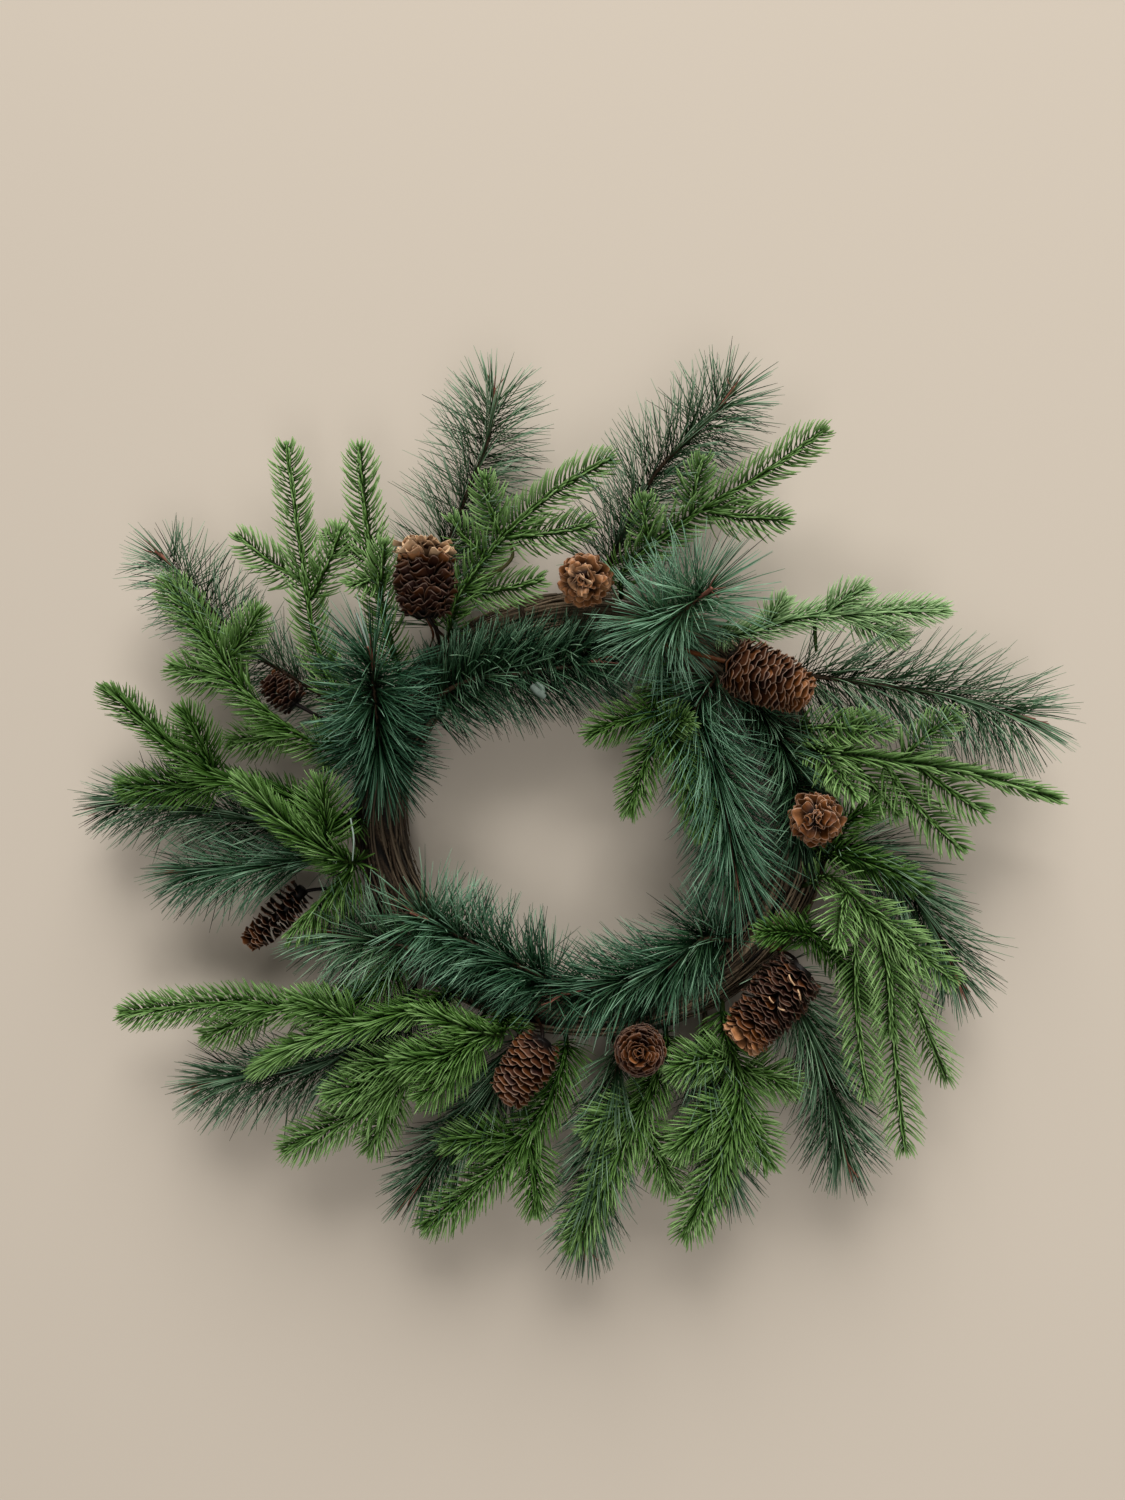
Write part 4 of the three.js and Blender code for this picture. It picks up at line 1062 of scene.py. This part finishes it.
def needle_rows(pile, line, bare, foot_share, look, rng):
    """Needles along one twig. Its foot lies a share of the way to the tip of the whole spray, from 0 to 1,
    which sets the painted shade.
    """
    length = PATH_STEP * (len(line) - 1)
    rows, row_reach = np.array(look["rows"], float).T
    count = max(2, int((length - bare) / look["pitch"]))
    along = bare + (length - bare) * (np.arange(count)[:, None] + (np.arange(len(rows)) * 0.5) % 1) / count
    along = (along + rng.normal(0, 0.5, along.shape)).ravel()
    angle = (rows[None] + look["loose"] * rng.normal(0, 1.5, (count, len(rows)))).ravel()
    short = 1 - np.tile(row_reach, count)
    to_tip = np.clip((along - length + SPRUCE_BRUSH) / SPRUCE_BRUSH, 0, 1)
    lean = look["lean"] + look["loose"] * rng.normal(0, 1, len(along))
    lean = lean - SHORT_LEAN * short - (look["lean"] - TIP_LEAN) * to_tip**2
    taper = (1 - SPRUCE_TAPER * along / length) * (1 - 0.5 * to_tip**1.5)
    reach = look["needle"] * rng.uniform(*SPRUCE_LENGTHS, len(along)) * (1 - short) * taper
    # Painted shade: the tone is lowest at the spray's root, which other foliage shades, and rises to its
    # tips.
    root_shade = PAINTED_ROOT_SHADE * (foot_share + (1 - foot_share) * along / length - 0.5)
    tone = look["shade"] + rng.normal(0, SPRUCE_TONE, len(along)) + root_shade - SHORT_TONE * short

    along = np.append(along, np.full(BUD_NEEDLES, length - 0.5))
    angle = np.append(angle, np.arange(BUD_NEEDLES) * GOLDEN_ANGLE)
    lean = np.append(lean, rng.uniform(*BUD_LEANS, BUD_NEEDLES))
    reach = np.append(reach, look["needle"] * rng.uniform(*BUD_LENGTHS, BUD_NEEDLES))
    tone = np.append(tone, look["shade"] + PAINTED_ROOT_SHADE / 2 + rng.normal(0, 0.08, BUD_NEEDLES))
    return grow(pile, line, along, angle, lean, reach, look, tone, rng)


print("rows on a full twig:", len(FULL_ROWS), "and on a comb twig:", len(COMB_ROWS))

# %% Build the spruce sprays
SPRUCE_ROOT, SPRUCE_END, TWIG_WIDTH = 1.9, 1.4, 1.5
TWIG_BARE, TWIG_FOOT_SHARE = 3.0, 0.4


def spruce_spray(index, name, clock, side, stem, twigs):
    rng = np.random.default_rng(300 + index)
    look = {**SPRUCE, **SPRUCE_LOOKS.get(name, {})}
    pile = Pile()
    count = 0
    lines = spray_lines(clock, side, stem, twigs, SPRUCE_ROOT)
    lines += [smooth_curve(points) for points in SHORT_TWIGS.get(name, [])]
    for i, line in enumerate(lines):
        root, bare, foot_share = (TWIG_WIDTH, TWIG_BARE, TWIG_FOOT_SHARE) if i else (SPRUCE_ROOT, look["bare"], 0.0)
        count += needle_rows(pile, line, bare, foot_share, look, rng)
        add_wood(pile, STEM, line, [root, SPRUCE_END], STEM_TONE)
    add_small_things(pile, name)
    pile.piece("full_" + name, spruce_material, "spruce_needles", name)
    return count


spruce_count = sum(spruce_spray(i, name, *spray) for i, (name, spray) in enumerate(SPRUCE_SPRAYS.items()))
print("spruce needles:", spruce_count)

# %% [markdown]
# ## Grapevine
# A grapevine is brown and shaggy: its bark runs in long ridges and comes off in strips. Each vine
# is the long rod, laid along the line of its CAD vine, with its surface raised in ridges that
# wander. A bump alone would leave the outline smooth, so the ridges are real, and only the finest
# grain is a bump.
#
# The bark's colour follows the same ridges as its shape, dark in the furrows and pale on top, so the
# two never drift apart. Fine noise roughens it, and a tone makes it paler: partly each twig's own
# tone, and partly painted light over the top of the ring.

# %% Bark material
BARK_ROUGHNESS, BARK_SHINE = 0.85, 0.25
BARK_GRAIN = 420.0


def bark_material(name, dark, middle, pale):
    material, shader = new_material(name, BARK_ROUGHNESS, BARK_SHINE)
    grain = add_node(material, "ShaderNodeMapping", {"Scale": (BARK_GRAIN, BARK_GRAIN, BARK_GRAIN)})
    feed(material, add_node(material, "ShaderNodeTexCoord").outputs["Object"], grain.inputs["Vector"])
    fine = noise(material, 1.0, 3.0, grain.outputs["Vector"])
    strands = number(material, "ridge")
    shade = combine(material, combine(material, strands, 0.65), combine(material, fine, 0.35), "ADD")
    colour = colour_ramp(material, shade, [(0.32, dark), (0.52, middle), (0.78, pale)])
    # The tone pales the bark: each twig's own tone, and painted light over the top of the ring.
    colour = blend(material, combine(material, number(material, "tone"), 0.6), colour, pale)
    feed(material, colour, shader.inputs["Base Color"])
    bump(material, shader, fine, 0.5, 0.0008)
    return material


vine_material = bark_material(
    "grapevine_bark", (0.003, 0.002, 0.001), (0.042, 0.026, 0.014), (0.34, 0.250, 0.160),
)
binding_material = bark_material(
    "binding_bark", (0.008, 0.005, 0.003), (0.035, 0.022, 0.013), (0.11, 0.075, 0.045),
)
print("bark materials:", vine_material.name, binding_material.name)

# %% [markdown]
# Light and shade are painted on the bark by where it lies: painted light makes it paler over the top
# of the ring, and painted shade darkens it at the left, under the foliage. So a vine's numbers are
# changed by where on the ring each point lies.

# %% Shapes and shades of bark
TURN = 6.3
RIDGES = (2, 3, 5, 7)
PAINTED_TOP_LIGHT, PAINTED_LEFT_SHADE, PAINTED_RIDGE_SHADE = 0.4, 0.6, 0.3


def ridges(rng, depth):
    """Heights of wandering ridges, by the angle round a vine and the share of its length."""
    waves = [(k, rng.uniform(0, TURN), rng.uniform(8, 26), rng.uniform(0, TURN)) for k in RIDGES]

    def height(angle, share):
        total = 0
        for k, phase, wander, other in waves:
            wave = k * angle + phase + 1.6 * np.sin(wander * share * TURN / 2 + other)
            total = total + np.sin(wave) / len(waves)
        return depth * total * (share > 0.002) * (share < 0.998)

    return height


def painted_light_and_shade(spots, tone, ridge):
    """Painted light makes the bark paler over the top of the ring, and painted shade darkens it under the
    foliage at its left.
    """
    top = np.clip(spots[:, 1] / RING_HALF[1], 0, 1) ** 4
    left = np.clip(-spots[:, 0] / RING_HALF[0], 0, 1) ** 4
    # Painted light over the top of the ring, and painted shade at its left.
    tone = (tone + PAINTED_TOP_LIGHT * top) * (1 - PAINTED_LEFT_SHADE * left)
    return {"tone": tone, "ridge": ridge * (1 - PAINTED_RIDGE_SHADE * left)}


def smooth_noise(rng, count, knots, size):
    """Three slow random waves that meet at both ends."""
    values = rng.normal(0, size, (knots, 3))
    values = np.vstack([values, values[:1]])
    at = np.linspace(0, knots, count)
    share = at % 1
    low = np.minimum(at.astype(int), knots - 1)
    ease = ((1 - np.cos(np.pi * share)) / 2)[:, None]
    return values[low] * (1 - ease) + values[low + 1] * ease


print("ridges round a vine:", RIDGES)

# %% [markdown]
# Thin twigs, each with its own shade, run along with the vines, and loose strips of bark lift off
# them at one end. Both are laid on the ring by seeded chance.

# %% Thin twigs and loose bark
THIN_TWIGS, LOOSE_STRIPS = 34, 40
TWIG_STEPS, STRIP_STEPS, WIDTH_STEPS = 60, 16, 20
BARK_START, STRIP_START = 18.0, 17.8


def add_thin_twigs(pile, rng):
    """Thin twigs that run along with the vines, each with its own shade."""
    for _ in range(THIN_TWIGS):
        clock = rng.uniform(0, 360) + np.linspace(0, rng.uniform(40, 120), TWIG_STEPS)
        side = rng.uniform(-10, 190) + np.linspace(0, rng.uniform(-50, 60), TWIG_STEPS)
        distance = BARK_START + rng.uniform(0, 2.6)
        distance = distance + 1.1 * np.sin(np.linspace(0, rng.uniform(6, 20), TWIG_STEPS))
        radius = rng.uniform(0.4, 1.25) * np.linspace(1, 0.6, WIDTH_STEPS)
        tone, ridge = rng.uniform(0, 1) ** 1.6, rng.uniform(0.05, 0.6)
        laid = lay_rod(STEM, ring_point(clock, distance, side), radius)
        pile.add(laid, **painted_light_and_shade(laid[0], tone, ridge))


def add_loose_bark(pile, rng):
    """Strips that lift off the vines toward one end."""
    for _ in range(LOOSE_STRIPS):
        clock = rng.uniform(0, 360) + np.linspace(0, rng.uniform(5, 18), STRIP_STEPS)
        side = rng.uniform(-20, 200) + np.linspace(0, rng.uniform(-25, 25), STRIP_STEPS)
        lift = np.linspace(0, 1, STRIP_STEPS) ** 2 * rng.uniform(0, 6)
        radius = rng.uniform(0.25, 0.6) * np.linspace(1, 0.5, STRIP_STEPS)
        line = ring_point(clock, STRIP_START + rng.uniform(0, 1) + lift, side)
        laid = lay_rod(STRIP, line, radius)
        pile.add(laid, **painted_light_and_shade(laid[0], rng.uniform(0.2, 1.0), 0.6))


print("on each outer vine:", THIN_TWIGS, "thin twigs and", LOOSE_STRIPS, "loose strips")

# %% [markdown]
# Now the vines themselves. The core runs along the middle of the bundle, and the others wind round
# it at even angles, twice in a full turn of the ring.

# %% Lines of the vines
VINE_RADIUS, VINE_SPACING = 5.6, 12.3
VINE_TWISTS = 2
VINES_AROUND = 6
VINE_STEPS = 257
VINE_WOBBLE, WOBBLE_KNOTS = 0.9, 9
VINE_SWELL, SWELL_STEPS, SWELL_KNOTS = 0.12, 60, 6
RIDGE_DEPTH, RIDGE_SHADE = 1.1, 1.6
VINE_ANGLE = np.arctan2(VINE[0][:, 1], VINE[0][:, 0])
VINE_SHARE = VINE[0][:, 2]


def vine_line(distance, turn, start):
    clock = start + np.linspace(0, 360, VINE_STEPS)
    return ring_point(clock, distance, turn + clock * VINE_TWISTS)


def vine(index, name, distance, turn, start):
    rng = np.random.default_rng(500 + index)
    pile = Pile()
    line = vine_line(distance, turn, start)
    line = line + smooth_noise(rng, len(line), WOBBLE_KNOTS, VINE_WOBBLE)
    radius = VINE_RADIUS * (1 + VINE_SWELL * smooth_noise(rng, SWELL_STEPS, SWELL_KNOTS, 1.0)[:, 0])
    rough = ridges(rng, RIDGE_DEPTH)
    laid = lay_rod(VINE, line, radius, rough)
    ridge = np.clip(0.5 + rough(VINE_ANGLE, VINE_SHARE) / RIDGE_SHADE, 0, 1)
    pile.add(laid, **painted_light_and_shade(laid[0], 0.0, ridge))
    if distance:
        add_thin_twigs(pile, rng)
        add_loose_bark(pile, rng)
    pile.piece("full_" + name, vine_material, "grapevine", name)


vine(0, "vine_1", 0.0, 0.0, 20.0)
for i in range(VINES_AROUND):
    vine(i + 1, f"vine_{i + 2}", VINE_SPACING, 60.0 * i, 15.0 * round(4 * (i + 0.5)))
print("vines:", VINES_AROUND + 1)

# %% [markdown]
# Thinner vines tie the bundle. Each is one loop of the same rod round the ring, with low ridges.

# %% Binding vines
BINDING_LOOP, BINDING_RADIUS = 20.5, 1.7
BINDING_CLOCKS = (107, 213, 327)
BINDING_RIDGES, BINDING_SHADE, BINDING_TONE = 0.25, 1.5, 0.1
LOOP_STEPS = 97


def binding(index, clock):
    rng = np.random.default_rng(600 + index)
    line = ring_point(clock, BINDING_LOOP, np.linspace(0, 360, LOOP_STEPS))
    pile = Pile()
    rough = ridges(rng, BINDING_RIDGES)
    laid = lay_rod(VINE, line, np.array([BINDING_RADIUS]), rough)
    ridge = np.clip(0.5 + rough(VINE_ANGLE, VINE_SHARE) * BINDING_SHADE, 0, 1)
    pile.add(laid, tone=BINDING_TONE, ridge=ridge)
    name = f"binding_vine_{index + 1}"
    pile.piece("full_" + name, binding_material, "binding_vine", name)


for i, clock in enumerate(BINDING_CLOCKS):
    binding(i, clock)
print("bindings:", len(BINDING_CLOCKS))

# %% [markdown]
# ## Cones
# A cone's scales sit on a spiral, each the golden angle on from the last. One scale is modelled: a
# grid is shaped like a spoon, narrow at its root, round at its lip and cupped, and a Solidify
# modifier gives it thickness. Each scale could be sculpted, but a real cone repeats one shape too.
# Copies stand round a slim core, more open at the base than the tip.

# %% Model one scale
SCALE_ROWS = [(-1, 0.34), (-0.5, 0.62), (0, 0.88), (0.5, 1.0), (0.82, 0.96), (1, 0.74)]
LIP_RISE, KEEL_RISE, SCALE_THICKNESS = 0.35, 0.22, 0.15


def model_scale():
    """A grid whose rows are scaled to the spoon's widths, cupped along its middle, and thickened."""
    bpy.ops.object.select_all(action="DESELECT")
    bpy.ops.mesh.primitive_grid_add(x_subdivisions=4, y_subdivisions=5, size=2)
    scale = bpy.context.object
    bpy.ops.object.mode_set(mode="EDIT")
    bpy.context.tool_settings.mesh_select_mode = (True, False, False)
    rows = sorted({round(v.co.y, 4) for v in bmesh.from_edit_mesh(scale.data).verts})
    for row, (place, width) in zip(rows, SCALE_ROWS):
        select_points(scale, lambda point: abs(point.y - row) < 1e-3)
        bpy.ops.transform.resize(value=(width, 1, 1), center_override=(0, row, 0))
        bpy.ops.transform.translate(value=(0, place - row, LIP_RISE * max(0, place) ** 2))
    select_points(scale, lambda point: abs(point.x) < 0.3)
    bpy.ops.transform.translate(value=(0, 0, KEEL_RISE))
    bpy.ops.object.mode_set(mode="OBJECT")
    thick = scale.modifiers.new("thickness", "SOLIDIFY")
    thick.thickness = SCALE_THICKNESS
    bpy.ops.object.modifier_apply(modifier="thickness")
    bpy.ops.object.mode_set(mode="EDIT")
    bpy.ops.mesh.select_all(action="SELECT")
    bpy.ops.mesh.normals_make_consistent(inside=False)
    bpy.ops.mesh.quads_convert_to_tris()
    bpy.ops.object.mode_set(mode="OBJECT")
    return take_shape(scale)


def nearness_to_rim(points):
    """From 0 in the middle of a scale to 1 at its outline."""
    places, widths = np.array(SCALE_ROWS).T
    beside = np.abs(points[:, 0]) / np.interp(points[:, 1], places, widths)
    return np.clip(np.maximum(beside**2, ((points[:, 1] + 1) / 2) ** 6), 0, 1)


SCALE = model_scale()
SCALE_RIM = nearness_to_rim(SCALE[0])
print("triangles in a scale:", len(SCALE[1]))

# %% [markdown]
# A scale is red-brown wood, often pale along its lip, and painted shade darkens it toward its root
# inside the cone. Weathered scales are tan. One number per scale says how pale it is, and the numbers
# of a point say how near it lies to the root and to the rim, so one material finishes all nine cones.

# %% Cone material
SCALE_ROUGHNESS, SCALE_SHINE = 0.55, 0.2
BLACK, WHITE = (0.0, 0.0, 0.0), (1.0, 1.0, 1.0)
SCALE_WOOD = [
    (0.0, (0.028, 0.008, 0.004)), (0.35, (0.145, 0.045, 0.007)),
    (0.7, (0.34, 0.150, 0.058)), (1.0, (0.62, 0.42, 0.25)),
]
# Painted shade: this ramp darkens each scale toward its root inside the cone.
SCALE_SHADOW = [(0.4, (0.06, 0.04, 0.03)), (0.95, WHITE)]
SCALE_STREAKS = [(0.3, (0.6, 0.56, 0.54)), (0.7, WHITE)]
LIP_COLOUR = (0.60, 0.42, 0.31)


def cone_material():
    material, shader = new_material("cone_scales", SCALE_ROUGHNESS, SCALE_SHINE)
    wood = colour_ramp(material, number(material, "pale"), SCALE_WOOD)
    # Painted shade toward each scale's root.
    shadow = colour_ramp(material, number(material, "along"), SCALE_SHADOW)
    wood = blend(material, 1.0, wood, shadow, "MULTIPLY")
    streaks = colour_ramp(material, noise(material, 260.0, 3.0), SCALE_STREAKS)
    wood = blend(material, 1.0, wood, streaks, "MULTIPLY")
    at_rim = colour_ramp(material, number(material, "rim"), [(0.88, BLACK), (0.99, WHITE)])
    wood = blend(material, combine(material, at_rim, number(material, "lip")), wood, LIP_COLOUR)
    feed(material, wood, shader.inputs["Base Color"])
    bump(material, shader, noise(material, 500.0, 3.0), 0.35, 0.0006)
    return material


cone_finish = cone_material()
print("cone material:", cone_finish.name)

# %% [markdown]
# A cone has a barrel shape, widest near its base. Its scales stand square to the axis at the base,
# and close toward the tip.

# %% Shape of a cone
BASE_PART, TIP_PART = 0.22, 0.3
SQUARE = 92
SCALE_DEPTH, RUFFLE_DEPTH, RUFFLE_WAVES = 0.3, 0.4, 2.6


def cone_width(share, base):
    """A cone's width by the share of its length, as a share of the greatest width."""
    return np.sin(np.pi * np.minimum(1, base + (0.96 - base) * share**0.85)) ** 0.5


def scale_lean(share, look):
    """The angle between a scale and the cone's axis, by the share of the cone's length."""
    at_base = np.clip(1 - share / BASE_PART, 0, 1) ** 2
    at_tip = np.clip((share - 1 + TIP_PART) / TIP_PART, 0, 1) ** 1.3
    return look["lean"] + (SQUARE - look["lean"]) * at_base + (look["tip_lean"] - look["lean"]) * at_tip


def lay_scales(root, forward, sideways, reach, width, ruffle, rng):
    """Copies of the scale, each from its root in its own direction, its lip bent in a small wave."""
    points, triangles = SCALE
    count = len(root)
    x, y, z = points.T
    share = (y + 1) / 2
    wave = np.sin(RUFFLE_WAVES * x + rng.uniform(0, TURN, (count, 1)))
    face = np.cross(sideways, forward)
    raised = width[:, None] * (SCALE_DEPTH * z + RUFFLE_DEPTH * ruffle * share**2 * wave)
    spots = root[:, None] + (x * width[:, None])[..., None] * sideways[:, None]
    spots = spots + (share * reach[:, None])[..., None] * forward[:, None] + raised[..., None] * face[:, None]
    return spots.reshape(-1, 3), copied_faces(triangles, points, count), np.tile(share, count)


print("the width of a cone halfway:", cone_width(0.5, 0.18).round(2))

# %% [markdown]
# Each scale has a turn round the axis, a place along it, a lean and a size. A few more scales crowd
# the blunt end. The more frayed the cone is, the more chance moves them all.

# %% Scales of a cone
NUB_REACH = 0.42
TIP_START, TIP_LENGTH = 0.72, 0.28


def add_scales(pile, base, axis, length, radius, look, rng):
    across = unit(np.cross(axis, (0, 1, 0) if abs(axis[2]) > 0.8 else Z_AXIS))
    over = np.cross(axis, across)
    scales = look["scales"]
    total = scales + look["nub"]
    in_nub = np.arange(total) >= scales
    share = np.minimum(1, (np.arange(total) + 0.5) / scales) ** 0.92
    near_tip = np.clip((share - TIP_START) / TIP_LENGTH, 0, 1)
    loose = 1 + look["fray"] * (0.6 + 2.5 * near_tip)
    turn = np.radians(np.arange(total) * GOLDEN_ANGLE + loose * rng.normal(0, 4, total))
    out = across * np.cos(turn)[:, None] + over * np.sin(turn)[:, None]
    lean = scale_lean(share, look) + loose * rng.normal(0, 4, total)
    lean = np.radians(np.where(in_nub, rng.uniform(0, look["nub_lean"], total), lean))
    body = radius * cone_width(0.05 + (look["blunt"] - 0.05) * share, look["base"])
    inner = np.where(in_nub, 0.04 * radius, (0.42 - 0.34 * near_tip) * body)
    reach = np.clip((body - inner) / np.maximum(np.sin(lean), 0.45), 0.3 * radius, 0.9 * radius)
    reach = np.where(in_nub, NUB_REACH * radius, reach) * (1 + loose * rng.normal(0, 0.05, total))
    lip = length * (0.05 + 0.95 * share)
    root = base + axis * np.maximum(0.5, lip - reach * np.cos(lean))[:, None] + out * inner[:, None]
    forward = axis * np.cos(lean)[:, None] + out * np.sin(lean)[:, None]
    sideways = unit(np.cross(axis, out) + forward * (loose * rng.normal(0, 0.07, total))[:, None])
    forward = unit(forward - sideways * np.sum(forward * sideways, -1, keepdims=True))
    width = 0.62 * np.sqrt(2 * math.pi * radius * length / scales) * (0.72 + 0.28 * body / radius)
    width = width * look["wide"] * (1 + loose * rng.normal(0, 0.07, total))
    laid = lay_scales(root, forward, sideways, reach, width, look["ruffle"], rng)
    tone = look["pale"] + (look["tip_pale"] - look["pale"]) * near_tip
    tone = np.clip(tone + rng.normal(0, 0.08, total), 0, 1)
    pile.add(laid, pale=np.repeat(tone, len(SCALE_RIM)), rim=np.tile(SCALE_RIM, total), lip=look["lip"])


print("the end of a cone starts at", TIP_START, "of its length")

# %% [markdown]
# A cone is closed inside by a slim core, and a bent stalk ties it to the ring. Two cones have one
# more stalk beside them, and one has pale broken chips on its scales. These are short rods through
# given points, each with its width and how pale it is.

# %% Build the cones
CONE_CORE = model_rod(12, cuts=(7,))
CORE_STEPS = 12
STALK_WIDTHS, STALK_PALE, STALK_FOOT = [1.6, 1.2, 1.4], 0.12, 1.8
CONE_EXTRAS = {
    "cone_1": [([(-117, 142, 66), (-113, 130, 56), (-118, 122, 44)], 0.8, 0.1)],
    "cone_3": [([(104, 106, 74), (82, 113, 68), (56, 122, 58), (36, 130, 47)], 1.5, 0.2)],
    "cone_5": [
        ([(145, -106, 91), (146, -109, 92), (149, -113, 91)], 0.55, 1.0),
        ([(151, -116, 89), (152, -119, 90), (153, -123, 88)], 0.6, 1.0),
        ([(132, -121, 92), (133, -123, 93), (135, -125, 92)], 0.5, 0.95),
        ([(138, -128, 91), (140, -129, 92), (143, -130, 90)], 0.6, 1.0),
    ],
}


def cone(index, name, base, tip, radius, clock, side, look):
    rng = np.random.default_rng(700 + index)
    base, tip = np.array(base, float), np.array(tip, float)
    axis, length = unit(tip - base), np.linalg.norm(tip - base)
    radius = radius * CONE_SLIM.get(name, 1.0)
    pile = Pile()
    core_line = np.linspace(base + axis * 1.5, tip - axis * length * 0.15, CORE_STEPS)
    body = cone_width(look["blunt"] * np.linspace(0.03, 0.9, CORE_STEPS), look["base"])
    core_radius = radius * np.linspace(0.5, 0.1, CORE_STEPS) * body
    pile.add(lay_rod(CONE_CORE, core_line, core_radius), pale=0.0, rim=0.0, lip=0.0)
    add_scales(pile, base, axis, length, radius, look, rng)

    foot = ring_point(clock, BUNDLE_RADIUS + STALK_FOOT + GAP, side)
    knee = (base - axis * length * 0.1) * 0.85 + foot * 0.15
    stalk = bent_curve(base + axis * length * 0.12, knee, foot)
    pile.add(lay_rod(STEM, stalk, np.array(STALK_WIDTHS)), pale=STALK_PALE, rim=0.0, lip=0.0)
    for path, width, shade in CONE_EXTRAS.get(name, []):
        extra = lay_rod(STEM, smooth_curve(path), np.array([width, 1.15 * width, 0.8 * width]))
        pile.add((extra[0], extra[1], 1.0), pale=shade, rim=0.0, lip=0.0)
    pile.piece("full_" + name, cone_finish, "cone_scales", name)


for i, (name, place) in enumerate(CONES.items()):
    cone(i, name, *place, dict(zip(LOOK_NAMES, CONE_LOOKS[name])))
print("cones:", len(CONES))

# %% [markdown]
# ## Floor and light
# The wreath lies on a plain warm floor under soft light. A picture of a room could light it, but a
# lamp is easier to aim. A large one above the wreath's top edge throws the soft shadows that fall
# toward the bottom of the picture, a small one lights the front, and the world fills the shadows.

# %% Floor
FLOOR_SIZE, FLOOR_ROUGHNESS, FLOOR_SHINE = 8, 0.9, 0.1
FLOOR_COLOUR = (0.48, 0.425, 0.36)

bpy.ops.object.select_all(action="DESELECT")
bpy.ops.mesh.primitive_plane_add(size=FLOOR_SIZE, location=(0, 0, 0))
floor = bpy.context.object
floor.name = "floor"
floor_material, floor_shader = new_material("floor", FLOOR_ROUGHNESS, FLOOR_SHINE)
feed(floor_material, FLOOR_COLOUR, floor_shader.inputs["Base Color"])
floor.data.materials.append(floor_material)
floor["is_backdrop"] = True
print("floor:", FLOOR_SIZE, "m wide")

# %% Light
ROOM_COLOUR, ROOM_STRENGTH = (1.0, 0.96, 0.89, 1), 0.22


def area_light(name, place, size, power, colour):
    """A square lamp that looks at the middle of the wreath."""
    data = bpy.data.lights.new(name, "AREA")
    data.size = size
    data.energy = power
    data.color = colour
    lamp = bpy.data.objects.new(name, data)
    bpy.context.scene.collection.objects.link(lamp)
    direction = unit(-np.array(place, float))
    side = unit(np.cross(direction, (1, 0, 0)))
    lamp.matrix_world = Matrix.Translation(place) @ Matrix(
        [(np.cross(side, -direction)[i], side[i], -direction[i]) for i in range(3)]
    ).to_4x4()


area_light("ceiling_lamp", (0.6, 5.0, 3.2), 4.4, 600, (1.0, 0.98, 0.95))
area_light("front_lamp", (0.5, -1.4, 2.6), 1.6, 34, (1.0, 0.98, 0.96))
world = bpy.data.worlds.new("soft_room")
world.use_nodes = True
world.node_tree.nodes["Background"].inputs["Color"].default_value = ROOM_COLOUR
world.node_tree.nodes["Background"].inputs["Strength"].default_value = ROOM_STRENGTH
bpy.context.scene.world = world
bpy.context.scene.view_settings.view_transform = "Standard"
print("lamps:", len(bpy.data.lights))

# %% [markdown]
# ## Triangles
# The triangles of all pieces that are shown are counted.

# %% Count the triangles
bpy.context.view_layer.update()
triangle_count = sum(len(p.data.polygons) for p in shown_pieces())
print("triangles:", triangle_count)
